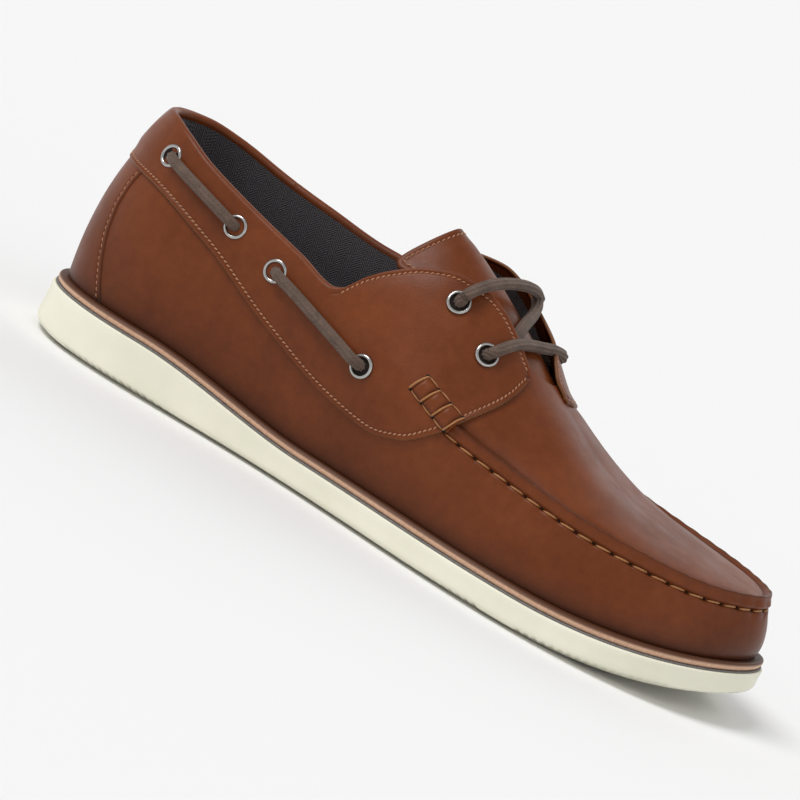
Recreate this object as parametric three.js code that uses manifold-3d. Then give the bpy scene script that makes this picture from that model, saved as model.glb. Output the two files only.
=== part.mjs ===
// A man's boat shoe for the right foot, standing empty on its sole.
// Millimetres; +X points to the toe, +Y to the medial (inner) side, +Z up, and the floor is z = 0.
import * as THREE from 'three';
import { mergeVertices } from 'three/addons/utils/BufferGeometryUtils.js';
import Module from 'manifold-3d';

const wasm = await Module();
wasm.setup();

// ---------------------------------------------------------------- driving dimensions
const LENGTH = 302;            // heel to toe over the sole
const BALL_WIDTH = 105.5;      // widest part of the sole
const HEEL_HEIGHT = 95.5;      // floor to the top of the back of the collar
// Size that the tables are drawn for.
const PATTERN = { length: 302, ballWidth: 105.5, heelHeight: 95.5 };

const HEEL_STACK = 18.2;       // outsole thickness under the heel
const BALL_STACK = 11.2;       // outsole thickness under the ball
const TOE_SPRING = 11;         // rise of the underside at the toe tip
const TOE_SPRING_START = 72;   // x where the underside leaves the floor
const HEEL_BEVEL = 1.5;        // rise of the underside at the back edge
const ARCH_RISE = 3;           // rise of the medial underside at the waist
const GAP = 0.3;               // clearance between pieces that touch
const MIDSOLE = 3.3;           // tan layer between outsole and upper
const WALL = 2;                // leather of the upper, with its lining
const OVERLAY = 1.1;           // leather laid over the upper
const OVERLAY_GAP = 0.75;      // clearance of an overlay to the upper
const INSOLE = 4;
const INSOLE_INSET = WALL + 1.2;
const INSOLE_CROWN = { inset: 9, fall: 0.8 };
const TONGUE = 2.2;
const LACE_DIAMETER = 4;
const EYELET = { outer: 4.6, hole: 2.5, rise: 1.1 };
const CENTRING = { x: -0.055, y: -0.07 };   // puts the middle of the sole's box on the origin

const SX = LENGTH / PATTERN.length;
const SY = BALL_WIDTH / PATTERN.ballWidth;
const SZ = HEEL_HEIGHT / PATTERN.heelHeight;

// ---------------------------------------------------------------- tables
// Edge of the sole in plan, from the back of the heel along the lateral side and back along the medial side.
const SOLE_OUTLINE = [
  // x, y
  [-151, 1.5], [-143.5, -18.5], [-124, -31.5], [-90, -35.5], [-50, -36], [-10, -41], [30, -49], [65, -52.7],
  [96, -49.5], [123, -38.5], [142, -19.5], [151, 5], [147.5, 24], [132, 40], [106, 50], [72, 52.7],
  [40, 47.5], [5, 36], [-30, 30], [-65, 31], [-98, 35.5], [-126, 33.5], [-144, 20.5],
];

// Ribs of the last. Each rib climbs from the feather line (f) over the middle line (m), which is the moccasin
// seam in front and a line round the ankle behind, to the top line (t). The top line is the ridge of the
// instep where the two sides meet, and lies above the collar where they don't.
// out: lean outwards at the feather; in: lean inwards under the middle line; rise and end: slope of the
// upper stretch where it leaves the middle line and where it reaches the top line. Degrees.
const RIB_COLUMNS = ['fx', 'fy', 'mx', 'my', 'mz', 'tx', 'ty', 'tz', 'out', 'in', 'rise', 'end'];
const RIBS = [
  [-146, 1.5, -144.6, 1.5, 72, -136, 1.5, 97, 8, 13, 77, 58],        // back of the heel
  [-138.8, -17, -138, -16.5, 71.5, -131, -13.5, 96.5, 8, 13, 77, 62],
  [-121, -27.5, -121, -28.5, 70, -118, -23.5, 95, 8, 12, 78, 68],
  [-90, -31, -90, -33.5, 67, -89, -28, 91, 8, 9, 81, 74],
  [-52, -31.5, -51, -35.5, 64, -51, -30, 91, 6, 8, 82, 74],             // ankle
  [-33, -33.5, -33, -38.5, 63, -32, -27, 95, 6, 14, 76, 60],
  [-13, -36.5, -14, -41.5, 61, -14, -21, 101, 6, 20, 70, 42],           // instep
  [6, -40, 4, -43.5, 57.5, 4, -17, 99.5, 6, 22, 66, 36],
  [24, -43.5, 20, -44, 52.5, 20, -12.5, 90, 6, 22, 60, 28],
  [51, -48, 43, -42, 48.2, 38, 1, 75.2, 6, 16, 50, 8],                  // front of the throat
  [77, -47.5, 73, -41, 44.8, 62, 5, 61, 7, 12, 36, 9],
  [103, -42.5, 99, -36.5, 43.7, 88, 6, 51.2, 8, 12, 21, 4],
  [126, -31.5, 121.5, -27.5, 43.7, 107, 6, 48.8, 10, 14, 16, 3],
  [140.5, -14.5, 135.5, -13, 45, 117, 4, 48, 14, 20, 12, 4],
  [146.5, 5, 141.5, 4, 46.3, 121, 0, 47.8, 18, 26, 7, 3],              // tip of the toe
  [142.5, 22, 134, 20, 46.1, 117, -4, 48, 14, 20, 9, 4],
  [127.5, 36, 119.5, 32.5, 46, 107, -6, 48.8, 10, 14, 11, 3],
  [103, 45.5, 98, 40, 46.6, 88, -6, 51.2, 8, 12, 16, 4],
  [76, 47.5, 73, 42.5, 48.6, 62, -5, 61, 7, 12, 28, 9],
  [47, 44.5, 44, 41, 53, 38, -1, 75.2, 5, 14, 48, 8],                   // front of the throat
  [20, 36, 20, 39, 57.5, 20, 13.5, 91.5, 3, 22, 64, 28],
  [2, 31.5, 3, 37, 60.5, 4, 17.5, 101, 2, 20, 70, 36],
  [-18, 27.5, -16, 34.5, 63, -15, 20.5, 102.5, 0, 15, 75, 46],          // instep
  [-50, 26, -48, 32, 65.5, -48, 28, 96, 2, 8, 82, 68],
  [-88, 29.5, -88, 32, 68, -88, 27, 94.5, 6, 9, 81, 74],
  [-121, 29.5, -121, 30.5, 70.5, -118, 25.5, 96, 8, 12, 78, 68],
  [-138.8, 19, -138, 18.5, 71.5, -131, 15.5, 96.5, 8, 13, 77, 62],
];
const THROAT_FRONT = 38;       // x where the two sides of the upper meet
const TOE_RIB = 14;            // row of RIBS at the tip of the toe
const THROAT_RIBS = { lateral: 9, medial: 19 };   // rows of RIBS at the front of the throat

// Ridge of the instep from the throat to the toe.
const RIDGE = [[30, 80], [38, 75.2], [49.5, 68], [62, 61], [75, 55.2], [88, 51.3], [107, 48.8], [121, 47.8]];

// Heights along the shoe, seen from the side. x, z
const TOPLINE = {
  lateral: [[-140, 95.3], [-131, 95], [-121, 92.8], [-106, 87.6], [-81, 81], [-58, 75.8], [-43, 72],
    [-39, 73.2], [-33, 80.5], [-27, 86], [-16, 93], [-5, 96], [6, 94.6], [13, 91.6], [20.5, 86.2],
    [27, 80.4], [33, 77], [38, 75.2]],
  medial: [[-140, 95.4], [-131, 95.2], [-121, 93.6], [-99, 89.5], [-76, 86.8], [-50, 84.2], [-43, 84.2],
    [-36, 89], [-28, 94.5], [-16, 99.5], [-5, 100.6], [6, 97.5], [14, 92.8], [22, 86.8], [30, 80.6], [38, 75.2]],
};
const SADDLE_LOWER = {
  lateral: [[-146, 71.9], [-126, 70.6], [-93, 61.8], [-58, 46.8], [-23, 36.6], [-5, 34.4], [8, 37.8],
    [19, 46.6], [27, 56.5], [33, 65.6], [35, 71]],
  medial: [[-146, 71.9], [-126, 70.8], [-93, 63.5], [-58, 50.5], [-23, 40.6], [0, 38.6], [16, 42],
    [28, 50], [37, 59], [44, 67.4], [46.5, 71]],
};
const SADDLE_UPPER = {
  lateral: [...TOPLINE.lateral.slice(0, -2), [33, 75.5], [35, 71.8]],
  medial: [...TOPLINE.medial.slice(0, -3), [27, 84.5], [36, 79.2], [43, 74.6], [46.5, 71.4]],
};
const SADDLE_FRONT = { lateral: 34.4, medial: 44.5 };  // x of the front end of each saddle
const SADDLE_TIP = 71.4;                             // height of that end
const MEDIAL_SEAM = -94;                             // x where the two saddles meet on the medial side
const COUNTER_FRONT = -129;                          // x of the front edges of the heel counter

// Tongue, from under the vamp to its free end. w: half width; drop: fall from the middle to the edges
const TONGUE_COLUMNS = ['x', 'z', 'w', 'drop'];
const TONGUE_ROWS = [
  [56, 61.2, 17, 3], [47, 66.2, 19, 4.5], [38, 71.5, 21, 6.5], [27, 79, 23, 8.5], [14, 88.2, 24, 11.5],
  [2, 96.4, 24, 13], [-7, 102.6, 22.8, 13], [-13.5, 107, 21.8, 13.2], [-17.6, 109.8, 20.6, 13],
  [-19.6, 111.2, 17, 9.5],
];

// Eyelets of the side lace and of the throat. x, z on each side
const SIDE_EYELETS = [[-121.5, 82.2], [-85.6, 72.4], [-64.2, 66], [-17, 53.4]];
const THROAT_EYELETS = { lateral: [[-0.3, 87.6], [17.4, 76.4]], medial: [[8, 89.6], [26, 77.8]] };
const SIDE_LACE_SPANS = [[0, 1], [2, 3]];

// Routes of the throat lace, chosen by hand: two bars over the tongue and the run that crosses between them.
const LACE_ROUTES = {
  rear: [[0.9, -33.3, 90.6], [1.9, -32.2, 94], [4, -26.4, 98.4], [5.8, -18, 101.4], [8.2, -9, 103.1],
    [10.8, 1, 103.8], [12.8, 10, 103.2], [13.8, 18, 101.2], [13, 25.2, 98.2], [11, 29.4, 94.8],
    [9.3, 28.9, 91.8]],
  front: [[19.5, -33.5, 79.2], [21, -32.4, 83.2], [22.9, -26.4, 87.8], [25, -17, 89.6], [27.6, -7, 89.8],
    [30, 3, 89.6], [32.4, 13, 88.4], [33.2, 21, 85.6], [31.4, 26.8, 83], [28.7, 26.4, 80.7]],
  crossing: [[23.8, -22, 88.9], [21.4, -14, 90.2], [18.6, -5, 92.6], [15.8, 3, 96.6], [12.8, 10, 102.8]],
};

// ---------------------------------------------------------------- finishes
function finish(color, roughness, metalness = 0) {
  return new THREE.MeshStandardMaterial({ color, roughness, metalness });
}
const LEATHER = finish('#8a4f2d', 0.45);
const LINING_LEATHER = finish('#7c4628', 0.55);
const RUBBER = finish('#e6e8d8', 0.6);
const TAN_LAYER = finish('#c08a66', 0.6);
const FOOTBED = finish('#4a4643', 0.85);
const LACE = finish('#6d5b4e', 0.8);
const NICKEL = finish('#c8c8c6', 0.25, 1);

// ---------------------------------------------------------------- curves
const radians = THREE.MathUtils.degToRad;
const clamp = THREE.MathUtils.clamp;

/** Smooth closed curve (continuous curvature) through rows of numbers, for a parameter from 0 to 1. */
function closedSpline(rows) {
  const n = rows.length;
  const steps = rows.map((row, i) => Math.hypot(row[0] - rows[(i + 1) % n][0], row[1] - rows[(i + 1) % n][1]));
  const total = steps.reduce((sum, step) => sum + step, 0);
  const h = steps.map((step) => step / total);
  const knots = [0];
  for (const step of h) knots.push(knots.at(-1) + step);
  const width = rows[0].length;
  const matrix = rows.map((row, i) => {
    const line = new Array(n + width).fill(0);
    const before = (i + n - 1) % n;
    const after = (i + 1) % n;
    line[before] += h[before];
    line[i] += 2 * (h[before] + h[i]);
    line[after] += h[i];
    for (let c = 0; c < width; c++) {
      line[n + c] = 6 * ((rows[after][c] - row[c]) / h[i] - (row[c] - rows[before][c]) / h[before]);
    }
    return line;
  });
  for (let p = 0; p < n; p++) {
    for (let r = 0; r < n; r++) {
      if (r === p) continue;
      const factor = matrix[r][p] / matrix[p][p];
      for (let c = p; c < n + width; c++) matrix[r][c] -= factor * matrix[p][c];
    }
  }
  const bend = matrix.map((line, i) => line.slice(n).map((value) => value / line[i]));
  const at = (u) => {
    const place = u - Math.floor(u);
    let i = 0;
    while (i < n - 1 && knots[i + 1] <= place) i++;
    const j = (i + 1) % n;
    const b = (place - knots[i]) / h[i];
    const a = 1 - b;
    const k = h[i] * h[i] / 6;
    return rows[i].map((value, c) => a * value + b * rows[j][c]
      + ((a ** 3 - a) * bend[i][c] + (b ** 3 - b) * bend[j][c]) * k);
  };
  return { at, knots };
}

/** Curve through [x, z] rows that never overshoots them, as a function of x. */
function heightCurve(rows) {
  const n = rows.length;
  const slope = rows.slice(1).map(([x, z], i) => (z - rows[i][1]) / (x - rows[i][0]));
  const tangent = rows.map((row, i) => {
    if (i === 0) return slope[0];
    if (i === n - 1) return slope[n - 2];
    const product = slope[i - 1] * slope[i];
    return product > 0 ? 2 * product / (slope[i - 1] + slope[i]) : 0;
  });
  return (x) => {
    if (x <= rows[0][0]) return rows[0][1];
    if (x >= rows[n - 1][0]) return rows[n - 1][1];
    let i = 0;
    while (rows[i + 1][0] < x) i++;
    const width = rows[i + 1][0] - rows[i][0];
    const s = (x - rows[i][0]) / width;
    return (2 * s ** 3 - 3 * s ** 2 + 1) * rows[i][1] + (s ** 3 - 2 * s ** 2 + s) * width * tangent[i]
      + (3 * s ** 2 - 2 * s ** 3) * rows[i + 1][1] + (s ** 3 - s ** 2) * width * tangent[i + 1];
  };
}

const smoothstep = (from, to, x) => THREE.MathUtils.smoothstep(x, from, to);

/** Value of x between low and high where the rising or falling function f crosses zero. */
function solve(f, low, high) {
  const sign = Math.sign(f(high)) || 1;
  for (let i = 0; i < 40; i++) {
    const middle = (low + high) / 2;
    if (f(middle) * sign > 0) high = middle;
    else low = middle;
  }
  return (low + high) / 2;
}

// ---------------------------------------------------------------- sole
const soleEdge = closedSpline(SOLE_OUTLINE.map(([x, y]) => [x * SX, y * SY]));

/** Point of the sole's plan at u, moved inwards by inset. */
function solePoint(u, inset) {
  const [x, y] = soleEdge.at(u);
  const [x1, y1] = soleEdge.at(u + 0.001);
  const [x0, y0] = soleEdge.at(u - 0.001);
  const length = Math.hypot(x1 - x0, y1 - y0);
  return [x - inset * (y1 - y0) / length, y + inset * (x1 - x0) / length];
}

/** Underside of the sole: flat under heel and forefoot, with toe spring, heel bevel and a medial arch. */
function soleBottom(x, y) {
  const toe = TOE_SPRING * clamp((x / SX - TOE_SPRING_START) / (151 - TOE_SPRING_START), 0, 1) ** 2;
  const heel = HEEL_BEVEL * clamp((-128 - x / SX) / 23, 0, 1) ** 2;
  const along = smoothstep(-62, -38, x) * (1 - smoothstep(-20, 8, x));
  return toe + heel + ARCH_RISE * along * smoothstep(-12, 26, y);
}

/** Top of the outsole, which carries the tan layer and the upper. */
function soleTop(x) {
  const toe = (TOE_SPRING - 1) * clamp((x / SX - TOE_SPRING_START) / (151 - TOE_SPRING_START), 0, 1) ** 2;
  return BALL_STACK + (HEEL_STACK - BALL_STACK) * (1 - smoothstep(-100, -24, x)) + toe;
}
const featherHeight = (x) => soleTop(x) + GAP + MIDSOLE + GAP;

/** Parameters round an outline, paired so that the two sides meet at the same x. */
function pairedRing(xAt, toeAt, count) {
  const lateral = [];
  for (let i = 1; i < count; i++) lateral.push(toeAt * i / count);
  const medial = lateral.map((u) => solve((v) => xAt(v) - xAt(u), toeAt, 1)).reverse();
  return [0, ...lateral, toeAt, ...medial];
}

// ---------------------------------------------------------------- solids from point grids
/** Collects rings of points and faces into one closed solid. */
class Skin {
  constructor() {
    this.points = [];
    this.faces = [];
  }

  add(point) {
    this.points.push(point);
    return this.points.length - 1;
  }

  ring(points) {
    return points.map((point) => this.add(point));
  }

  quad(a, b, c, d) {
    if (a !== b && b !== c && c !== a) this.faces.push([a, b, c]);
    if (a !== c && c !== d && d !== a) this.faces.push([a, c, d]);
  }

  /** Faces between two closed rings of the same length. */
  band(lower, upper) {
    const n = lower.length;
    for (let i = 0; i < n; i++) this.quad(lower[i], lower[(i + 1) % n], upper[(i + 1) % n], upper[i]);
  }

  /** Closes a paired ring with rungs from side to side. */
  cap(ring, up) {
    const n = ring.length;
    for (let i = 0; i < n / 2; i++) {
      const quad = [ring[i], ring[i + 1], ring[(n - i - 1) % n], ring[(n - i) % n]];
      if (!up) quad.reverse();
      this.quad(...quad);
    }
  }

  geometry() {
    const geometry = new THREE.BufferGeometry();
    geometry.setAttribute('position', new THREE.Float32BufferAttribute(this.points.flat(), 3));
    geometry.setIndex(this.faces.flat());
    return mergeVertices(geometry, 1e-4);
  }
}

/** One closed solid between two open grids of points of the same size: grid[i][j], outer seen from outside. */
function slab(outer, inner) {
  const skin = new Skin();
  const a = outer.map((row) => skin.ring(row));
  const b = inner.map((row) => skin.ring(row));
  const rows = a.length;
  const columns = a[0].length;
  for (let i = 0; i + 1 < rows; i++) {
    for (let j = 0; j + 1 < columns; j++) {
      skin.quad(a[i][j], a[i + 1][j], a[i + 1][j + 1], a[i][j + 1]);
      skin.quad(b[i][j + 1], b[i + 1][j + 1], b[i + 1][j], b[i][j]);
    }
    skin.quad(b[i][0], b[i + 1][0], a[i + 1][0], a[i][0]);
    skin.quad(a[i][columns - 1], a[i + 1][columns - 1], b[i + 1][columns - 1], b[i][columns - 1]);
  }
  for (let j = 0; j + 1 < columns; j++) {
    skin.quad(a[0][j], a[0][j + 1], b[0][j + 1], b[0][j]);
    skin.quad(b[rows - 1][j], b[rows - 1][j + 1], a[rows - 1][j + 1], a[rows - 1][j]);
  }
  return skin.geometry();
}

// ---------------------------------------------------------------- booleans
function solidOf(geometry) {
  const bare = geometry.clone();
  for (const name of Object.keys(bare.attributes)) if (name !== 'position') bare.deleteAttribute(name);
  const merged = mergeVertices(bare, 1e-4);
  return new wasm.Manifold(new wasm.Mesh({
    numProp: 3,
    vertProperties: new Float32Array(merged.attributes.position.array),
    triVerts: new Uint32Array(merged.index.array),
  }));
}

function geometryOf(solid) {
  const mesh = solid.getMesh();
  const geometry = new THREE.BufferGeometry();
  geometry.setAttribute('position', new THREE.Float32BufferAttribute(Array.from(mesh.vertProperties), 3));
  geometry.setIndex(Array.from(mesh.triVerts));
  return geometry;
}

// ---------------------------------------------------------------- last
const ribLine = closedSpline(RIBS.map((row) => row.map((value, c) => {
  const name = RIB_COLUMNS[c];
  if (name.endsWith('x')) return value * SX;
  if (name.endsWith('y')) return value * SY;
  return name.endsWith('z') ? value * SZ : value;
})));
const ridgeHeight = heightCurve(RIDGE.map(([x, z]) => [x * SX, z * SZ]));
const TOE_U = ribLine.knots[TOE_RIB];

/** Rib at u: its three points, its slopes, and whether it ends on the ridge of the instep. */
function rib(u) {
  const values = ribLine.at(u);
  const r = Object.fromEntries(RIB_COLUMNS.map((name, c) => [name, values[c]]));
  const ahead = ribLine.at(u + 0.0005);
  const behind = ribLine.at(u - 0.0005);
  const inward = new THREE.Vector3(behind[1] - ahead[1], ahead[0] - behind[0], 0).normalize();
  const lateral = u < TOE_U;
  const closed = r.tx > THROAT_FRONT * SX - 1e-6;
  const feather = new THREE.Vector3(r.fx, r.fy, featherHeight(r.fx));
  const middle = new THREE.Vector3(r.mx, r.my, r.mz);
  let side = r.ty;
  if (r.tx > 0) side = lateral ? Math.min(r.ty, 0) : Math.max(r.ty, 0);
  const top = closed ? new THREE.Vector3(r.tx, 0, ridgeHeight(r.tx)) : new THREE.Vector3(r.tx, side, r.tz);
  const across = top.clone().sub(feather).setZ(0);
  const share = clamp((across.length() - 8) / 20, 0, 1);
  const over = inward.clone().multiplyScalar(1 - share).addScaledVector(across.normalize(), share).normalize();
  return { ...r, closed, feather, middle, top, inward, over };
}

const direction = (flat, slope) => flat.clone().multiplyScalar(Math.cos(slope)).setZ(Math.sin(slope));

function hermite(from, to, leave, arrive, s) {
  const length = from.distanceTo(to);
  return from.clone().multiplyScalar(2 * s ** 3 - 3 * s ** 2 + 1)
    .addScaledVector(leave, length * (s ** 3 - 2 * s ** 2 + s))
    .addScaledVector(to, 3 * s ** 2 - 2 * s ** 3)
    .addScaledVector(arrive, length * (s ** 3 - s ** 2));
}

/** Point of the last on rib u: t runs 0 to 1 below the middle line and 1 to 2 above it. */
function lastPoint(u, t) {
  const r = rib(u);
  if (t <= 1) {
    const leave = direction(r.inward, radians(90 + r.out));
    const arrive = direction(r.inward, radians(90 - r.in));
    return hermite(r.feather, r.middle, leave, arrive, t);
  }
  return hermite(r.middle, r.top, direction(r.over, radians(r.rise)), direction(r.over, radians(r.end)), t - 1);
}

/** Outward unit normal of the last. */
function lastNormal(u, t) {
  const r = rib(u);
  if (r.closed && t > 1.999) {
    const slope = (ridgeHeight(r.tx + 0.5) - ridgeHeight(r.tx - 0.5));
    return new THREE.Vector3(-slope, 0, 1).normalize();
  }
  const along = lastPoint(u + 0.001, t).sub(lastPoint(u - 0.001, t));
  const up = lastPoint(u, Math.min(t + 0.02, 2)).sub(lastPoint(u, Math.max(t - 0.02, 0)));
  return along.cross(up).normalize();
}

const offsetPoint = (u, t, offset) => lastPoint(u, t).addScaledVector(lastNormal(u, t), offset).toArray();

/** t on rib u where the last reaches the height that curve gives for its x. */
function reach(u, curve) {
  const excess = (t) => {
    const point = lastPoint(u, t);
    return point.z - curve(point.x);
  };
  return excess(2) <= 0 ? 2 : solve(excess, 0, 2);
}

const curves = (table) => {
  const scaled = (rows) => heightCurve(rows.map(([x, z]) => [x * SX, z * SZ]));
  return { lateral: scaled(table.lateral), medial: scaled(table.medial) };
};
const topline = curves(TOPLINE);
const saddleLower = curves(SADDLE_LOWER);
const saddleUpper = curves(SADDLE_UPPER);
const sideOf = (u) => (u - Math.floor(u) < TOE_U ? 'lateral' : 'medial');

/** Parameters u, t of the point of the last at x, z on one side. */
function locate(side, x, z) {
  const [low, high] = side === 'lateral' ? [0.01, TOE_U - 0.05] : [0.99, TOE_U + 0.05];
  const u = solve((v) => lastPoint(v, reach(v, () => z)).x - x, low, high);
  return [u, reach(u, () => z)];
}

/** u on one side where the rib's point at height curve(x) has the given x. */
function stationAt(side, x, curve) {
  const [low, high] = side === 'lateral' ? [0.01, TOE_U - 0.05] : [0.99, TOE_U + 0.05];
  return solve((v) => lastPoint(v, reach(v, curve)).x - x, low, high);
}

/** Values from u0 to u1, no further apart than step. */
function stations(u0, u1, step) {
  const count = Math.max(2, Math.ceil(Math.abs(u1 - u0) / step));
  return Array.from({ length: count + 1 }, (_, i) => u0 + (u1 - u0) * i / count);
}

// ---------------------------------------------------------------- upper
const LOWER_STEPS = 3;
const UPPER_STEPS = 6;
const RIB_STEP = 0.0135;
const WING_STEP = 0.0075;      // closer ribs under the wings of the saddles
const VAMP_STRETCH = 0.02;     // u that the close ribs run on past the throat

function ribHeights(u, top) {
  const below = Array.from({ length: LOWER_STEPS }, (_, j) => j / LOWER_STEPS);
  const above = Array.from({ length: UPPER_STEPS + 1 }, (_, j) => 1 + (top - 1) * j / UPPER_STEPS);
  return [...below, ...above];
}

/**
 * Ribs round the whole upper, shared by every sheet of leather. Behind the throat they stand alone; in front
 * of it each lateral rib has a medial twin that ends on the same point of the instep's ridge.
 */
function makeRing() {
  const front = ribLine.knots[THROAT_RIBS.lateral];
  const vamp = front + VAMP_STRETCH;
  const lateralNotch = stationAt('lateral', -47, topline.lateral);
  const medialNotch = stationAt('medial', -38, topline.medial);
  const tx = (u) => ribLine.at(u)[RIB_COLUMNS.indexOf('tx')];
  const twinOf = (u) => solve((v) => tx(v) - tx(u), TOE_U, ribLine.knots[THROAT_RIBS.medial] + 0.02);
  const lateralOpen = [...stations(0, lateralNotch, RIB_STEP),
    ...stations(lateralNotch, front, WING_STEP).slice(1)];
  const lateralClosed = [...stations(front, vamp, WING_STEP).slice(1),
    ...stations(vamp, TOE_U, RIB_STEP).slice(1, -1)];
  const medialClosed = [...lateralClosed].reverse().map(twinOf);
  const medialOpen = [...stations(twinOf(front), medialNotch, WING_STEP),
    ...stations(medialNotch, 1, RIB_STEP).slice(1, -1)];
  return {
    ring: [...lateralOpen, ...lateralClosed, TOE_U, ...medialClosed, ...medialOpen],
    firstClosed: lateralOpen.length - 1,
    toe: lateralOpen.length + lateralClosed.length,
  };
}
const { ring, firstClosed, toe } = makeRing();

/** Ribs of the ring from u0 to u1; u0 may be negative, for ribs that pass the back of the heel. */
function ribsBetween(u0, u1) {
  const near = RIB_STEP / 5;
  const inside = [...ring.map((u) => u - 1), ...ring].filter((u) => u > u0 + near && u < u1 - near);
  return [u0, ...inside, u1];
}

/** Hollow upper: one wall of leather, open at the collar and throat and underneath. */
function makeUpper() {
  const n = ring.length;
  const skin = new Skin();
  const layer = (offset) => ring.map((u, i) => {
    const isClosed = i >= firstClosed && i <= 2 * toe - firstClosed;
    const top = isClosed ? 2 : Math.min(2, reach(u, topline[sideOf(u)]));
    const twin = isClosed && i > toe ? ring[2 * toe - i] : u;
    return ribHeights(u, top).map((t) => skin.add(offsetPoint(t === 2 ? twin : u, t, offset)));
  });
  const outer = layer(0);
  const inner = layer(-WALL);
  const last = outer[0].length - 1;
  for (let i = 0; i < n; i++) {
    const k = (i + 1) % n;
    for (let j = 0; j < last; j++) {
      skin.quad(outer[i][j], outer[k][j], outer[k][j + 1], outer[i][j + 1]);
      skin.quad(inner[i][j + 1], inner[k][j + 1], inner[k][j], inner[i][j]);
    }
    skin.quad(inner[i][0], inner[k][0], outer[k][0], outer[i][0]);
    const open = i < firstClosed || i >= 2 * toe - firstClosed;
    if (open) skin.quad(outer[i][last], outer[k][last], inner[k][last], inner[i][last]);
  }
  return skin.geometry();
}

// ---------------------------------------------------------------- overlays on the upper
/** Heights on a rib for an overlay, with one of them on the middle line where the overlay crosses it. */
function sheetHeights(from, to, steps) {
  const below = Math.ceil(steps / 3);
  const above = steps - below;
  const split = Math.min(Math.max(1, from + 0.2 * (to - from)), to - 0.2 * (to - from));
  const lower = Array.from({ length: below }, (_, j) => from + (split - from) * j / below);
  return [...lower, ...Array.from({ length: above + 1 }, (_, j) => split + (to - split) * j / above)];
}

/** Sheet over the upper between two heights on each rib. */
function overlay(ribs, lower, upper, steps) {
  const grid = (offset) => ribs.map((u) => {
    const from = reach(u, lower(u));
    const to = Math.max(reach(u, upper(u)), from + 0.02);
    return sheetHeights(from, to, steps).map((t) => offsetPoint(u, t, offset));
  });
  return slab(grid(OVERLAY_GAP + OVERLAY), grid(OVERLAY_GAP));
}

const SADDLE_STEPS = 7;
const MEET = 0.0008;           // half the gap between two sheets, along u
const bandLower = (u) => saddleLower[sideOf(u)];
const bandUpper = (u) => saddleUpper[sideOf(u)];
const seam = stationAt('medial', MEDIAL_SEAM, topline.medial);

/** Ribs from u to the blunt front end of a saddle. */
function saddleRibs(from, side) {
  const end = stationAt(side, SADDLE_FRONT[side], () => SADDLE_TIP * SZ);
  return ribsBetween(Math.min(from, end), Math.max(from, end));
}

const makeSaddle = (from, side) => overlay(saddleRibs(from, side), bandLower, bandUpper, SADDLE_STEPS);

function makeCounter() {
  const middle = () => 50 * SZ;
  const medialEnd = stationAt('medial', COUNTER_FRONT, middle) - 1;
  const ribs = ribsBetween(medialEnd, stationAt('lateral', COUNTER_FRONT, middle));
  const lower = () => (x) => featherHeight(x) + GAP;
  const upper = (u) => (x) => bandLower(u)(x) - 0.8;
  return overlay(ribs, lower, upper, 5);
}

// ---------------------------------------------------------------- bottom pieces
const RING_COUNT = 30;
const soleToe = solve((u) => soleEdge.at(u + 0.0005)[0] - soleEdge.at(u - 0.0005)[0], 0.4, 0.6);
const soleRing = pairedRing((u) => soleEdge.at(u)[0], soleToe, RING_COUNT);
const feather = (u, inset) => {
  const r = rib(u);
  return r.feather.clone().setZ(0).addScaledVector(r.inward, inset);
};
const featherToe = solve((u) => ribLine.at(u + 0.0005)[0] - ribLine.at(u - 0.0005)[0], 0.4, 0.6);
const featherRing = pairedRing((u) => ribLine.at(u)[0], featherToe, RING_COUNT);

const soleRow = (inset, height) => soleRing.map((u) => {
  const [x, y] = solePoint(u, inset);
  return [x, y, height(x, y)];
});
const featherRow = (inset, height) => featherRing.map((u) => {
  const point = feather(u, inset);
  return [point.x, point.y, height(point.x, point.y)];
});

/** Solid through rings from the underside to the top, closed by rungs at both ends. */
function stack(rows) {
  const skin = new Skin();
  const rings = rows.map((row) => skin.ring(row));
  for (let i = 0; i + 1 < rings.length; i++) skin.band(rings[i], rings[i + 1]);
  skin.cap(rings[0], false);
  skin.cap(rings.at(-1), true);
  return skin.geometry();
}

const TREAD_BORDER = 7;        // width of the sloping border round the tread
const BORDER_RISE = 2.2;       // height that the border climbs
const SOLE_BEVEL = { inset: 0.9, height: 1.2 };        // edges of the sidewall
const MIDSOLE_BEVEL = { inset: 0.7, height: 0.7 };
const MIDSOLE_INSET = 1.4;     // from the edge of the outsole
const CHANNEL = { inset: 11.5, width: 2.4, depth: 1.4 };
const GROOVE = { width: 2.2, depth: 1.5, half: 27, side: 2 };   // side: y of its middle
const FOREFOOT_GROOVES = [16, 34, 52, 70, 88, 106];
const HEEL_GROOVES = [-128, -112, -96, -80];

/** Strip under the sole, from outline inset a to inset b, that cuts the stitch channel. */
function channelCutter() {
  const { inset, width, depth } = CHANNEL;
  const floor = (x, y) => soleBottom(x, y) + depth;
  const below = () => -2;
  const rows = [soleRow(inset, below), soleRow(inset, floor),
    soleRow(inset + width, floor), soleRow(inset + width, below)];
  const skin = new Skin();
  const rings = rows.map((row) => skin.ring(row));
  rings.forEach((ring, i) => skin.band(ring, rings[(i + 1) % rings.length]));
  return solidOf(skin.geometry());
}

/** Bar across the tread at x that cuts one flex groove. */
function grooveCutter(x) {
  const height = 8;
  const box = new THREE.BoxGeometry(GROOVE.width, 2 * GROOVE.half, height);
  box.translate(x, GROOVE.side, soleBottom(x, 0) + GROOVE.depth - height / 2);
  return solidOf(box);
}

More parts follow.
